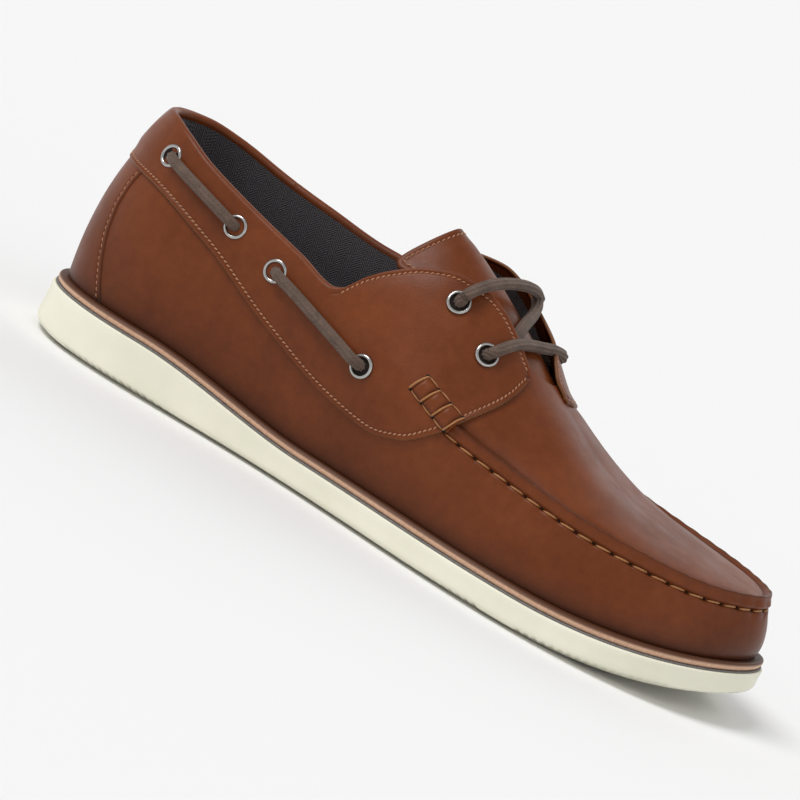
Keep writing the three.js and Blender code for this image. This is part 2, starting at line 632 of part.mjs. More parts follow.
function makeOutsole() {
  const body = stack([
    soleRow(TREAD_BORDER, soleBottom),
    soleRow(SOLE_BEVEL.inset, (x, y) => soleBottom(x, y) + BORDER_RISE),
    soleRow(0, (x, y) => soleBottom(x, y) + BORDER_RISE + SOLE_BEVEL.height),
    soleRow(0, (x) => soleTop(x) - SOLE_BEVEL.height),
    soleRow(SOLE_BEVEL.inset, soleTop),
  ]);
  let solid = solidOf(body).subtract(channelCutter());
  for (const x of [...FOREFOOT_GROOVES, ...HEEL_GROOVES]) solid = solid.subtract(grooveCutter(x * SX));
  return geometryOf(solid);
}

function makeMidsole() {
  const foot = (x) => soleTop(x) + GAP;
  const { inset, height } = MIDSOLE_BEVEL;
  return stack([
    soleRow(MIDSOLE_INSET + inset, foot),
    soleRow(MIDSOLE_INSET, (x) => foot(x) + height),
    soleRow(MIDSOLE_INSET, (x) => foot(x) + MIDSOLE - height),
    soleRow(MIDSOLE_INSET + inset, (x) => foot(x) + MIDSOLE),
  ]);
}

function makeInsole() {
  return stack([
    featherRow(INSOLE_INSET, featherHeight),
    featherRow(INSOLE_INSET, (x) => featherHeight(x) + INSOLE),
    featherRow(INSOLE_INSET + INSOLE_CROWN.inset, (x) => featherHeight(x) + INSOLE - INSOLE_CROWN.fall),
  ]);
}

// ---------------------------------------------------------------- tongue
const TONGUE_SIDES = 5;
const TONGUE_NORMAL = new THREE.Vector3(0.56, 0, 0.83);   // square to the tongue's slope

function makeTongue() {
  const rows = TONGUE_ROWS.map((row) => Object.fromEntries(TONGUE_COLUMNS.map((name, c) => [name, row[c]])));
  const point = (r, s) => new THREE.Vector3(r.x * SX, s * r.w * SY, r.z * SZ)
    .addScaledVector(TONGUE_NORMAL, -r.drop * s * s);
  const grid = (depth) => rows.map((r, i) => {
    const before = rows[Math.max(i - 1, 0)];
    const after = rows[Math.min(i + 1, rows.length - 1)];
    return Array.from({ length: 2 * TONGUE_SIDES + 1 }, (_, j) => {
      const s = 1 - j / TONGUE_SIDES;
      const along = point(before, s).sub(point(after, s));
      const across = point(r, s + 0.05).sub(point(r, s - 0.05));
      return point(r, s).addScaledVector(along.cross(across).normalize(), depth).toArray();
    });
  });
  return slab(grid(0), grid(-TONGUE));
}

// ---------------------------------------------------------------- eyelets and laces
/** Ring set on the saddle at x, z. */
function placeEyelet(mesh, side, [x, z]) {
  const [u, t] = locate(side, x * SX, z * SZ);
  const normal = lastNormal(u, t);
  const seat = OVERLAY_GAP + OVERLAY + 0.5;
  mesh.position.copy(lastPoint(u, t)).addScaledVector(normal, seat);
  mesh.quaternion.setFromUnitVectors(new THREE.Vector3(0, 1, 0), normal);
}

function eyeletGeometry() {
  const { outer, hole, rise } = EYELET;
  const shoulder = rise * 0.6;
  const profile = [[hole, 0], [outer, 0], [outer - 0.3, shoulder], [(outer + hole) / 2, rise],
    [hole, shoulder], [hole, 0]];
  return new THREE.LatheGeometry(profile.map(([x, y]) => new THREE.Vector2(x, y)), 12);
}

/** Cord of the lace along a list of points. */
function cord(points, steps) {
  const sides = 8;
  const section = new THREE.Shape(Array.from({ length: sides }, (_, i) => {
    const angle = 2 * Math.PI * i / sides;
    return new THREE.Vector2(Math.cos(angle), Math.sin(angle)).multiplyScalar(LACE_DIAMETER / 2);
  }));
  const extrudePath = new THREE.CatmullRomCurve3(points, false, 'centripetal');
  return new THREE.ExtrudeGeometry(section, { steps, extrudePath, curveSegments: 1 });
}

function makeThroatLace() {
  const bars = Object.values(LACE_ROUTES).map((route) => {
    const points = route.map(([x, y, z]) => new THREE.Vector3(x * SX, y * SY, z * SZ));
    return solidOf(cord(points, Math.round(1.4 * route.length)));
  });
  return geometryOf(bars[0].add(bars[1]).add(bars[2]));
}

/** Lace lying on the saddle between the rims of two eyelets. */
function makeSideLace(side, [from, to]) {
  const [x0, z0] = SIDE_EYELETS[from];
  const [x1, z1] = SIDE_EYELETS[to];
  const lift = OVERLAY_GAP + OVERLAY + LACE_DIAMETER / 2 + 0.5;
  const margin = (EYELET.outer + 0.6) / Math.hypot(x1 - x0, z1 - z0);
  const count = 7;
  const points = Array.from({ length: count }, (_, i) => {
    const share = margin + (1 - 2 * margin) * i / (count - 1);
    const [u, t] = locate(side, (x0 + (x1 - x0) * share) * SX, (z0 + (z1 - z0) * share) * SZ);
    return new THREE.Vector3(...offsetPoint(u, t, lift));
  });
  return cord(points, 8);
}

// ---------------------------------------------------------------- assembly
const shoe = new THREE.Group();
shoe.position.set(CENTRING.x, CENTRING.y, 0);

function place(name, geometry, material) {
  const mesh = new THREE.Mesh(geometry, material);
  mesh.name = name;
  shoe.add(mesh);
  return mesh;
}

place('outsole', makeOutsole(), RUBBER);
place('midsole', makeMidsole(), TAN_LAYER);
place('insole', makeInsole(), FOOTBED);
place('upper', makeUpper(), LEATHER);
place('tongue', makeTongue(), LINING_LEATHER);
place('saddle_lateral', makeSaddle(seam + MEET - 1, 'lateral'), LEATHER);
place('saddle_medial', makeSaddle(seam - MEET, 'medial'), LEATHER);
place('heel_counter', makeCounter(), LEATHER);
place('throat_lace', makeThroatLace(), LACE);
for (const side of ['lateral', 'medial']) {
  SIDE_LACE_SPANS.forEach((span, i) => place(`side_lace_${side}_${i + 1}`, makeSideLace(side, span), LACE));
  [...SIDE_EYELETS, ...THROAT_EYELETS[side]].forEach((spot, i) => {
    placeEyelet(place(`eyelet_${side}_${i + 1}`, eyeletGeometry(), NICKEL), side, spot);
  });
}

export default shoe;
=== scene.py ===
"""Looks of a right-foot leather boat shoe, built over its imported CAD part.

Shapes are worked out in millimetres in the shoe's own pattern (x to the toe, y to the medial side, z up) and
placed in the frame by the boxes of the CAD nodes.
"""

import logging
import math
from dataclasses import dataclass, field
from enum import Enum

import bpy
import numpy as np
from mathutils import Matrix, Vector
from mathutils.kdtree import KDTree


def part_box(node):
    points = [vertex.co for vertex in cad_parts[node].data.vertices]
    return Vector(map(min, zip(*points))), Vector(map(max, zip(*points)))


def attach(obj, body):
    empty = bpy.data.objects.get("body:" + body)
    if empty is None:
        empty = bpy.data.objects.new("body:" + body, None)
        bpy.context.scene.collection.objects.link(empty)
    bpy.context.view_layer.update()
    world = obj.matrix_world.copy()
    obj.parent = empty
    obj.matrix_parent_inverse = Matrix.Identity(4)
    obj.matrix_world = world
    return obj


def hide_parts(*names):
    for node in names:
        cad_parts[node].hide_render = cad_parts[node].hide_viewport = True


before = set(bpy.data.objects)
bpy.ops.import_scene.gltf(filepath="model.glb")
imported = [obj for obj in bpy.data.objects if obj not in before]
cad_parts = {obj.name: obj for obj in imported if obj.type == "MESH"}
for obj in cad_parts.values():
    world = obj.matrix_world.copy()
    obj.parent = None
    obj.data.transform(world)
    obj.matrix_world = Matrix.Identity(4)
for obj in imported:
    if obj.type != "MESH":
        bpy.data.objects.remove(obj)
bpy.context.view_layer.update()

LOG = logging.getLogger("boat_shoe")
CREST_SAMPLES = 4000
Array = np.ndarray
Material = bpy.types.Material
Socket = bpy.types.NodeSocket


class Side(Enum):
    """Outer and inner side of the shoe."""

    LATERAL = "lateral"
    MEDIAL = "medial"


class Slot(Enum):
    """Material slots of the record."""

    RUBBER = "rubber_white"
    WELT = "midsole_tan"
    LEATHER = "leather_brown"
    LINING = "lining_grey"
    LACE = "lace_taupe"
    THREAD = "thread_tan"
    NICKEL = "eyelet_nickel"


# ---- small maths
def smoothstep(low: float, high: float, x: Array) -> Array:
    """Smooth rise from 0 at low to 1 at high; low may be the larger."""
    s = np.clip((np.asarray(x, float) - low) / (high - low), 0, 1)
    return s * s * (3 - 2 * s)


def bump(x: Array, centre: float, width: float) -> Array:
    """Bell of height 1 at centre."""
    return np.exp(-(((np.asarray(x, float) - centre) / width) ** 2))


def unit(v: Array) -> Array:
    """Vectors scaled to length 1."""
    return v / np.maximum(np.linalg.norm(v, axis=-1, keepdims=True), 1e-9)


def quarter_round(share: Array) -> Array:
    """Height of a rounded edge, from 0 at its foot to 1, at a share of its width."""
    return np.sqrt(np.clip(1 - (1 - np.clip(share, 0, 1)) ** 2, 0, 1))


def arc_lengths(points: Array) -> Array:
    """Distance travelled along a line of points, from 0."""
    steps = np.linalg.norm(np.diff(points, axis=0), axis=1)
    return np.concatenate([[0], np.cumsum(steps)])


def along(points: Array, marks: Array) -> Array:
    """Rows of points, of any width, at distances along the line that their first three columns draw.

    Args:
        points: rows whose first three columns are a place.
        marks: distances from the first row.

    Returns:
        One interpolated row for each mark.
    """
    travelled = arc_lengths(points[:, :3])
    return np.stack([np.interp(marks, travelled, column) for column in points.T], axis=1)


def rounded(points: Array, count: int) -> Array:
    """Line of count points on a centripetal spline through a few points.

    Args:
        points: a few rows whose first three columns are a place.
        count: points of the line.

    Returns:
        One row for each point, (count, columns).
    """
    p = np.asarray(points, float)
    ends = np.concatenate([[2 * p[0] - p[1]], p, [2 * p[-1] - p[-2]]])
    knots = np.concatenate([[0], np.cumsum(np.linalg.norm(np.diff(ends[:, :3], axis=0), axis=1) ** 0.5)])
    out = []
    for t in np.linspace(knots[1], knots[-2] - 1e-9, count):
        i = int(np.searchsorted(knots, t, side="right")) - 1
        t0, t1, t2, t3 = knots[i - 1 : i + 3]
        p0, p1, p2, p3 = ends[i - 1 : i + 3]
        a1 = (t1 - t) / (t1 - t0) * p0 + (t - t0) / (t1 - t0) * p1
        a2 = (t2 - t) / (t2 - t1) * p1 + (t - t1) / (t2 - t1) * p2
        a3 = (t3 - t) / (t3 - t2) * p2 + (t - t2) / (t3 - t2) * p3
        b1 = (t2 - t) / (t2 - t0) * a1 + (t - t0) / (t2 - t0) * a2
        b2 = (t3 - t) / (t3 - t1) * a2 + (t - t1) / (t3 - t1) * a3
        out.append((t2 - t) / (t2 - t1) * b1 + (t - t1) / (t2 - t1) * b2)
    return np.array(out)


class ClosedSpline:
    """Closed curve of continuous curvature through rows of numbers, for a parameter from 0 to 1."""

    def __init__(self, rows: Array) -> None:
        """Solves for the bend at each row.

        Args:
            rows: table whose first two columns set the spacing of the knots.
        """
        self.rows = np.asarray(rows, float)
        n = len(self.rows)
        ahead = np.roll(self.rows, -1, axis=0)
        steps = np.linalg.norm((ahead - self.rows)[:, :2], axis=1)
        self.h = steps / steps.sum()
        self.knots = np.concatenate([[0], np.cumsum(self.h)])
        before = np.roll(self.h, 1)
        matrix = np.zeros((n, n))
        for i in range(n):
            matrix[i, i - 1] += before[i]
            matrix[i, i] += 2 * (before[i] + self.h[i])
            matrix[i, (i + 1) % n] += self.h[i]
        slope = (ahead - self.rows) / self.h[:, None]
        self.bend = np.linalg.solve(matrix, 6 * (slope - np.roll(slope, 1, axis=0)))

    def at(self, u: Array) -> Array:
        """Rows of the curve.

        Args:
            u: parameters, of any shape.

        Returns:
            Rows; the last axis holds the columns.
        """
        place = np.mod(np.asarray(u, float), 1)
        i = np.clip(np.searchsorted(self.knots, place, side="right") - 1, 0, len(self.rows) - 1)
        j = (i + 1) % len(self.rows)
        h = self.h[i]
        b = ((place - self.knots[i]) / h)[..., None]
        a = 1 - b
        k = (h * h / 6)[..., None]
        bent = (a**3 - a) * self.bend[i] + (b**3 - b) * self.bend[j]
        return a * self.rows[i] + b * self.rows[j] + bent * k


class HeightCurve:
    """Curve through (x, z) rows that never overshoots them."""

    def __init__(self, rows: tuple) -> None:
        """Finds the tangents.

        Args:
            rows: (x, z) pairs with rising x.
        """
        self.x, self.z = np.array(rows, float).T
        slope = np.diff(self.z) / np.diff(self.x)
        product = slope[:-1] * slope[1:]
        total = slope[:-1] + slope[1:]
        inner = np.where(product > 0, 2 * product / np.where(total == 0, 1, total), 0)
        self.tangent = np.concatenate([[slope[0]], inner, [slope[-1]]])

    def __call__(self, x: Array) -> Array:
        """Heights at x, flat beyond the ends.

        Args:
            x: places along the shoe.

        Returns:
            Heights.
        """
        at = np.clip(x, self.x[0], self.x[-1])
        i = np.clip(np.searchsorted(self.x, at, side="right") - 1, 0, len(self.x) - 2)
        width = self.x[i + 1] - self.x[i]
        s = (at - self.x[i]) / width
        fore = (2 * s**3 - 3 * s**2 + 1) * self.z[i] + (s**3 - 2 * s**2 + s) * width * self.tangent[i]
        aft = (3 * s**2 - 2 * s**3) * self.z[i + 1] + (s**3 - s**2) * width * self.tangent[i + 1]
        return fore + aft


# ---- the sole's and the last's shape
@dataclass(frozen=True)
class SoleShape:
    """Plan and heights of the sole, in pattern millimetres."""

    ball_stack: float = 11.2
    heel_stack: float = 18.2
    toe_spring: float = 11.0
    spring_start: float = 72.0
    tip: float = 151.0
    heel_bevel: float = 1.5
    arch_rise: float = 3.0
    welt: float = 3.3
    gap: float = 0.3
    # Edge in plan from the back of the heel along the lateral side and back: x, y
    outline: tuple = (
        (-151, 1.5), (-143.5, -18.5), (-124, -31.5), (-90, -35.5), (-50, -36), (-10, -41), (30, -49),
        (65, -52.7), (96, -49.5), (123, -38.5), (142, -19.5), (151, 5), (147.5, 24), (132, 40), (106, 50),
        (72, 52.7), (40, 47.5), (5, 36), (-30, 30), (-65, 31), (-98, 35.5), (-126, 33.5), (-144, 20.5),
    )

    def spring(self, x: Array) -> Array:
        """Share of the toe spring at x."""
        return np.clip((x - self.spring_start) / (self.tip - self.spring_start), 0, 1) ** 2

    def top(self, x: Array) -> Array:
        """Top of the rubber."""
        step = (self.heel_stack - self.ball_stack) * (1 - smoothstep(-100, -24, x))
        return self.ball_stack + step + (self.toe_spring - 1) * self.spring(x)

    def bottom(self, x: Array, y: Array) -> Array:
        """Underside of the rubber.

        Args:
            x: places along.
            y: places across.

        Returns:
            Heights.
        """
        heel = self.heel_bevel * np.clip((-128 - x) / 23, 0, 1) ** 2
        waist = smoothstep(-62, -38, x) * (1 - smoothstep(-20, 8, x))
        return self.toe_spring * self.spring(x) + heel + self.arch_rise * waist * smoothstep(-12, 26, y)

    def feather(self, x: Array) -> Array:
        """Height at which the upper meets the welt."""
        return self.top(x) + self.welt + 2 * self.gap

    def edge(self, u: Array, inset: Array) -> Array:
        """Plan points of the edge moved inwards by inset, as (x, y).

        Args:
            u: places on the outline.
            inset: distances inwards.

        Returns:
            Points, (N, 2).
        """
        here = self.spline().at(u)
        run = unit(self.spline().at(np.asarray(u) + 0.001) - self.spline().at(np.asarray(u) - 0.001))
        inward = np.stack([-run[..., 1], run[..., 0]], axis=-1)
        return here + inward * np.asarray(inset)[..., None]

    def spline(self) -> ClosedSpline:
        """Curve of the outline, solved once.

        Returns:
            The curve.
        """
        if not hasattr(SoleShape, "_spline"):
            SoleShape._spline = ClosedSpline(self.outline)
        return SoleShape._spline


SOLE = SoleShape()

RIB_COLUMNS = ("fx", "fy", "mx", "my", "mz", "tx", "ty", "tz", "out", "in", "rise", "end")
# Ribs of the last: feather point f, middle line m (the moccasin seam in front), top line t, and slopes in
# degrees: lean out at the feather, lean in under the middle line, rise above it, and slope at the end.
RIBS = (
    (-146, 1.5, -144.6, 1.5, 72, -136, 1.5, 97, 8, 13, 77, 58),
    (-138.8, -17, -138, -16.5, 71.5, -131, -13.5, 96.5, 8, 13, 77, 62),
    (-121, -27.5, -121, -28.5, 70, -118, -23.5, 95, 8, 12, 78, 68),
    (-90, -31, -90, -33.5, 67, -89, -28, 91, 8, 9, 81, 74),
    (-52, -31.5, -51, -35.5, 64, -51, -30, 91, 6, 8, 82, 74),
    (-33, -33.5, -33, -38.5, 63, -32, -27, 95, 6, 14, 76, 60),
    (-13, -36.5, -14, -41.5, 61, -14, -21, 101, 6, 20, 70, 42),
    (6, -40, 4, -43.5, 57.5, 4, -17, 99.5, 6, 22, 66, 36),
    (24, -43.5, 20, -44, 52.5, 20, -12.5, 90, 6, 22, 60, 28),
    (51, -48, 43, -42, 48.2, 38, 1, 75.2, 6, 16, 50, 8),
    (77, -47.5, 73, -41, 44.8, 62, 5, 61, 7, 12, 36, 9),
    (103, -42.5, 99, -36.5, 43.7, 88, 6, 51.2, 8, 12, 21, 4),
    (126, -31.5, 121.5, -27.5, 43.7, 107, 6, 48.8, 10, 14, 16, 3),
    (140.5, -14.5, 135.5, -13, 45, 117, 4, 48, 14, 20, 12, 4),
    (146.5, 5, 141.5, 4, 46.3, 121, 0, 47.8, 18, 26, 7, 3),
    (142.5, 22, 134, 20, 46.1, 117, -4, 48, 14, 20, 9, 4),
    (127.5, 36, 119.5, 32.5, 46, 107, -6, 48.8, 10, 14, 11, 3),
    (103, 45.5, 98, 40, 46.6, 88, -6, 51.2, 8, 12, 16, 4),
    (76, 47.5, 73, 42.5, 48.6, 62, -5, 61, 7, 12, 28, 9),
    (47, 44.5, 44, 41, 53, 38, -1, 75.2, 5, 14, 48, 8),
    (20, 36, 20, 39, 57.5, 20, 13.5, 91.5, 3, 22, 64, 28),
    (2, 31.5, 3, 37, 60.5, 4, 17.5, 101, 2, 20, 70, 36),
    (-18, 27.5, -16, 34.5, 63, -15, 20.5, 102.5, 0, 15, 75, 46),
    (-50, 26, -48, 32, 65.5, -48, 28, 96, 2, 8, 82, 68),
    (-88, 29.5, -88, 32, 68, -88, 27, 94.5, 6, 9, 81, 74),
    (-121, 29.5, -121, 30.5, 70.5, -118, 25.5, 96, 8, 12, 78, 68),
    (-138.8, 19, -138, 18.5, 71.5, -131, 15.5, 96.5, 8, 13, 77, 62),
)
RIDGE = ((30, 80), (38, 75.2), (49.5, 68), (62, 61), (75, 55.2), (88, 51.3), (107, 48.8), (121, 47.8))
THROAT_FRONT = 38.0
TOE_RIB = 14
THROAT_RIBS = {Side.LATERAL: 9, Side.MEDIAL: 19}

# Edges seen from the side: x, z. Collar and wing share their top with the upper, up to the wing's front.
LATERAL_TOP = (
    (-140, 95.3), (-131, 95), (-121, 92.8), (-106, 87.6), (-81, 81), (-58, 75.8), (-43, 72), (-39, 73.2),
    (-33, 80.5), (-27, 86), (-16, 93), (-5, 96), (6, 94.6), (13, 91.6), (20.5, 86.2), (27, 80.4),
)
MEDIAL_TOP = (
    (-140, 95.4), (-131, 95.2), (-121, 93.6), (-99, 89.5), (-76, 86.8), (-50, 84.2), (-43, 84.2),
    (-36, 89), (-28, 94.5), (-16, 99.5), (-5, 100.6), (6, 97.5), (14, 92.8),
)
TOPLINE = {
    Side.LATERAL: HeightCurve((*LATERAL_TOP, (33, 77), (38, 75.2))),
    Side.MEDIAL: HeightCurve((*MEDIAL_TOP, (22, 86.8), (30, 80.6), (38, 75.2))),
}
SADDLE_LOWER = {
    Side.LATERAL: HeightCurve(
        [(-146, 71.9), (-126, 70.6), (-93, 61.8), (-58, 46.8), (-23, 36.6), (-5, 34.4), (8, 37.8), (19, 46.6),
         (26.4, 56.6), (31.2, 64.2), (33.4, 70.6)]
    ),
    Side.MEDIAL: HeightCurve(
        [(-146, 71.9), (-126, 70.8), (-93, 63.5), (-58, 50.5), (-23, 40.6), (0, 38.6), (16, 42), (28, 50),
         (37, 59), (44, 67.4), (46.5, 71)]
    ),
}
SADDLE_UPPER = {
    Side.LATERAL: HeightCurve((*LATERAL_TOP, (31.6, 75.8), (33.4, 72.2))),
    Side.MEDIAL: HeightCurve((*MEDIAL_TOP, (27, 84.5), (36, 79.2), (43, 74.6), (46.5, 71.4))),
}
SADDLE_FRONT = {Side.LATERAL: 32.8, Side.MEDIAL: 44.5}
SADDLE_TIP = 71.4
MEDIAL_SEAM = -94.0


class Last:
    """Surface of the last: u runs round the shoe, t from 0 at the feather over 1 to 2 at the top."""

    def __init__(self) -> None:
        """Solves the spline of the ribs and a table of points for searches."""
        self.spline = ClosedSpline(RIBS)
        self.ridge = HeightCurve(RIDGE)
        self.toe = float(self.spline.knots[TOE_RIB])
        self.front = {side: float(self.spline.knots[row]) for side, row in THROAT_RIBS.items()}
        self._tables: dict = {}

    def side_of(self, u: Array) -> Array:
        """True on the lateral side."""
        return np.mod(u, 1) < self.toe

    def rib(self, u: Array) -> dict:
        """Columns of the ribs at u, with their points and directions.

        Args:
            u: ribs, of any shape.

        Returns:
            Arrays under their names.
        """
        r = dict(zip(RIB_COLUMNS, np.moveaxis(self.spline.at(u), -1, 0)))
        ahead, behind = self.spline.at(u + 0.0005), self.spline.at(u - 0.0005)
        inward = np.stack([behind[..., 1] - ahead[..., 1], ahead[..., 0] - behind[..., 0]], axis=-1)
        inward = unit(np.concatenate([inward, np.zeros_like(inward[..., :1])], axis=-1))
        closed = r["tx"] > THROAT_FRONT - 1e-6
        lateral = self.side_of(u)
        held = np.where(lateral, np.minimum(r["ty"], 0), np.maximum(r["ty"], 0))
        top_y = np.where(closed, 0, np.where(r["tx"] > 0, held, r["ty"]))
        top_z = np.where(closed, self.ridge(r["tx"]), r["tz"])
        feather = np.stack([r["fx"], r["fy"], SOLE.feather(r["fx"])], axis=-1)
        middle = np.stack([r["mx"], r["my"], r["mz"]], axis=-1)
        top = np.stack([r["tx"], top_y, top_z], axis=-1)
        across = (top - feather) * [1, 1, 0]
        share = np.clip((np.linalg.norm(across, axis=-1, keepdims=True) - 8) / 20, 0, 1)
        over = unit(inward * (1 - share) + unit(across) * share)
        r.update(feather=feather, middle=middle, top=top, inward=inward, over=over, closed=closed)
        return r

    @staticmethod
    def slope(flat: Array, degrees: Array) -> Array:
        """Direction that climbs at an angle from a level direction."""
        angle = np.radians(degrees)[..., None]
        return flat * np.cos(angle) + np.array([0, 0, 1]) * np.sin(angle)

    def point(self, u: Array, t: Array) -> Array:
        """Points of the last.

        Args:
            u: ribs.
            t: heights.

        Returns:
            Points.
        """
        u, t = np.broadcast_arrays(np.asarray(u, float), np.asarray(t, float))
        r = self.rib(u)
        low = (t <= 1)[..., None]
        start = np.where(low, r["feather"], r["middle"])
        stop = np.where(low, r["middle"], r["top"])
        leave = np.where(low, self.slope(r["inward"], 90 + r["out"]), self.slope(r["over"], r["rise"]))
        arrive = np.where(low, self.slope(r["inward"], 90 - r["in"]), self.slope(r["over"], r["end"]))
        s = np.where(t <= 1, t, t - 1)[..., None]
        length = np.linalg.norm(stop - start, axis=-1, keepdims=True)
        return (
            start * (2 * s**3 - 3 * s**2 + 1)
            + leave * length * (s**3 - 2 * s**2 + s)
            + stop * (3 * s**2 - 2 * s**3)
            + arrive * length * (s**3 - s**2)
        )

    def normal(self, u: Array, t: Array) -> Array:
        """Outward unit normals.

        Args:
            u: ribs.
            t: heights.

        Returns:
            Unit vectors.
        """
        u, t = np.broadcast_arrays(np.asarray(u, float), np.asarray(t, float))
        run = self.point(u + 0.001, t) - self.point(u - 0.001, t)
        climb = self.point(u, np.minimum(t + 0.02, 2)) - self.point(u, np.maximum(t - 0.02, 0))
        normal = unit(np.cross(run, climb))
        tx = self.spline.at(u)[..., RIB_COLUMNS.index("tx")]
        slope = self.ridge(tx + 0.5) - self.ridge(tx - 0.5)
        crown = unit(np.stack([-slope, np.zeros_like(slope), np.ones_like(slope)], axis=-1))
        on_ridge = ((tx > THROAT_FRONT) & (t > 1.999))[..., None]
        return np.where(on_ridge, crown, normal)

    def reach(self, u: Array, height: Array) -> Array:
        """t at which each rib reaches a height, found by halving.

        Args:
            u: ribs.
            height: number, array, or function of (u, x).

        Returns:
            t, at most 2.
        """
        u = np.asarray(u, float)

        def excess(t: Array) -> Array:
            p = self.point(u, t)
            level = height(u, p[..., 0]) if callable(height) else height
            return p[..., 2] - level

        low, high = np.zeros_like(u), np.full_like(u, 2.0)
        for _ in range(26):
            middle = (low + high) / 2
            above = excess(middle) > 0
            high = np.where(above, middle, high)
            low = np.where(above, low, middle)
        return high

    def sided(self, curves: dict) -> callable:
        """Height function of (u, x) that picks the curve of each rib's side.

        Args:
            curves: one curve for each side.

        Returns:
            The function.
        """

        def height(u: Array, x: Array) -> Array:
            return np.where(self.side_of(u), curves[Side.LATERAL](x), curves[Side.MEDIAL](x))

        return height

    def crest(self) -> tuple:
        """Fine ribs all round, their points on the middle line and the distance travelled along it.

        Returns:
            u, (F,), points, (F, 3), and distances, (F,).
        """
        fine = np.linspace(0, 1, CREST_SAMPLES)
        points = self.rib(fine)["middle"]
        return fine, points, arc_lengths(points)

    def span(self, side: Side) -> tuple:
        """Range of u of one side, from the heel to near the toe."""
        return (0.01, self.toe - 0.05) if side is Side.LATERAL else (0.99, self.toe + 0.05)

    def station(self, side: Side, x: float, height: callable) -> float:
        """u on one side where the rib's point at a height has the given x.

        Args:
            side: side of the shoe.
            x: place along the shoe.
            height: number, or function as in reach.

        Returns:
            u of the rib.
        """
        low, high = self.span(side)
        for _ in range(26):
            middle = (low + high) / 2
            at = np.array([middle])
            if self.point(at, self.reach(at, height))[0, 0] > x:
                high = middle
            else:
                low = middle
        return (low + high) / 2

    def locate(self, side: Side, x: Array, z: Array) -> tuple:
        """Parameters u, t of the points of one side at x, z in the side view.

        Args:
            side: side of the shoe.
            x: places along the shoe.
            z: heights.

        Returns:
            u and t, of the shape of x.
        """
        if side not in self._tables:
            low, high = self.span(side)
            u, t = np.meshgrid(np.linspace(low, high, 160), np.linspace(0.02, 1.96, 80), indexing="ij")
            flat = self.point(u, t).reshape(-1, 3)
            tree = KDTree(len(flat))
            for i, p in enumerate(flat):
                tree.insert((p[0], 0, p[2]), i)
            tree.balance()
            self._tables[side] = (tree, u.ravel(), t.ravel())
        tree, us, ts = self._tables[side]
        x, z = np.atleast_1d(np.asarray(x, float)), np.atleast_1d(np.asarray(z, float))
        near = np.array([tree.find((a, 0, b))[1] for a, b in zip(x.ravel(), z.ravel())])
        u, t = us[near].reshape(x.shape), ts[near].reshape(x.shape)
        want = np.stack([x, z], axis=-1)
        for _ in range(6):
            here = self.point(u, t)[..., [0, 2]]
            du = (self.point(u + 1e-4, t)[..., [0, 2]] - here) / 1e-4
            dt = (self.point(u, t + 1e-3)[..., [0, 2]] - here) / 1e-3
            miss = want - here
            det = du[..., 0] * dt[..., 1] - du[..., 1] * dt[..., 0]
            det = np.where(np.abs(det) < 1e-6, 1e-6, det)
            u = u + np.clip((miss[..., 0] * dt[..., 1] - miss[..., 1] * dt[..., 0]) / det, -0.01, 0.01)
            climb = (du[..., 0] * miss[..., 1] - du[..., 1] * miss[..., 0]) / det
            t = np.clip(t + np.clip(climb, -0.1, 0.1), 0, 2)
        return u, t

    def at_arcs(self, us: Array, t_from: Array, t_to: Array, arcs: Array) -> Array:
        """t on each rib at distances from one height towards another.

        Args:
            us: ribs, (C,).
            t_from: t where the distances start, (C,).
            t_to: t where they end, (C,).
            arcs: distances in millimetres, (C, R).

        Returns:
            t, (C, R).
        """
        ts = t_from[:, None] + (t_to - t_from)[:, None] * np.linspace(0, 1, 56)
        p = self.point(us[:, None], ts)
        steps = np.linalg.norm(np.diff(p, axis=1), axis=-1)
        travelled = np.concatenate([np.zeros((len(us), 1)), np.cumsum(steps, axis=1)], axis=1)
        return np.stack([np.interp(a, d, t) for a, d, t in zip(arcs, travelled, ts)])

    def rib_length(self, us: Array, t_from: Array, t_to: Array) -> Array:
        """Length of each rib between two heights."""
        ts = t_from[:, None] + (t_to - t_from)[:, None] * np.linspace(0, 1, 40)
        return np.linalg.norm(np.diff(self.point(us[:, None], ts), axis=1), axis=-1).sum(axis=1)


LAST = Last()


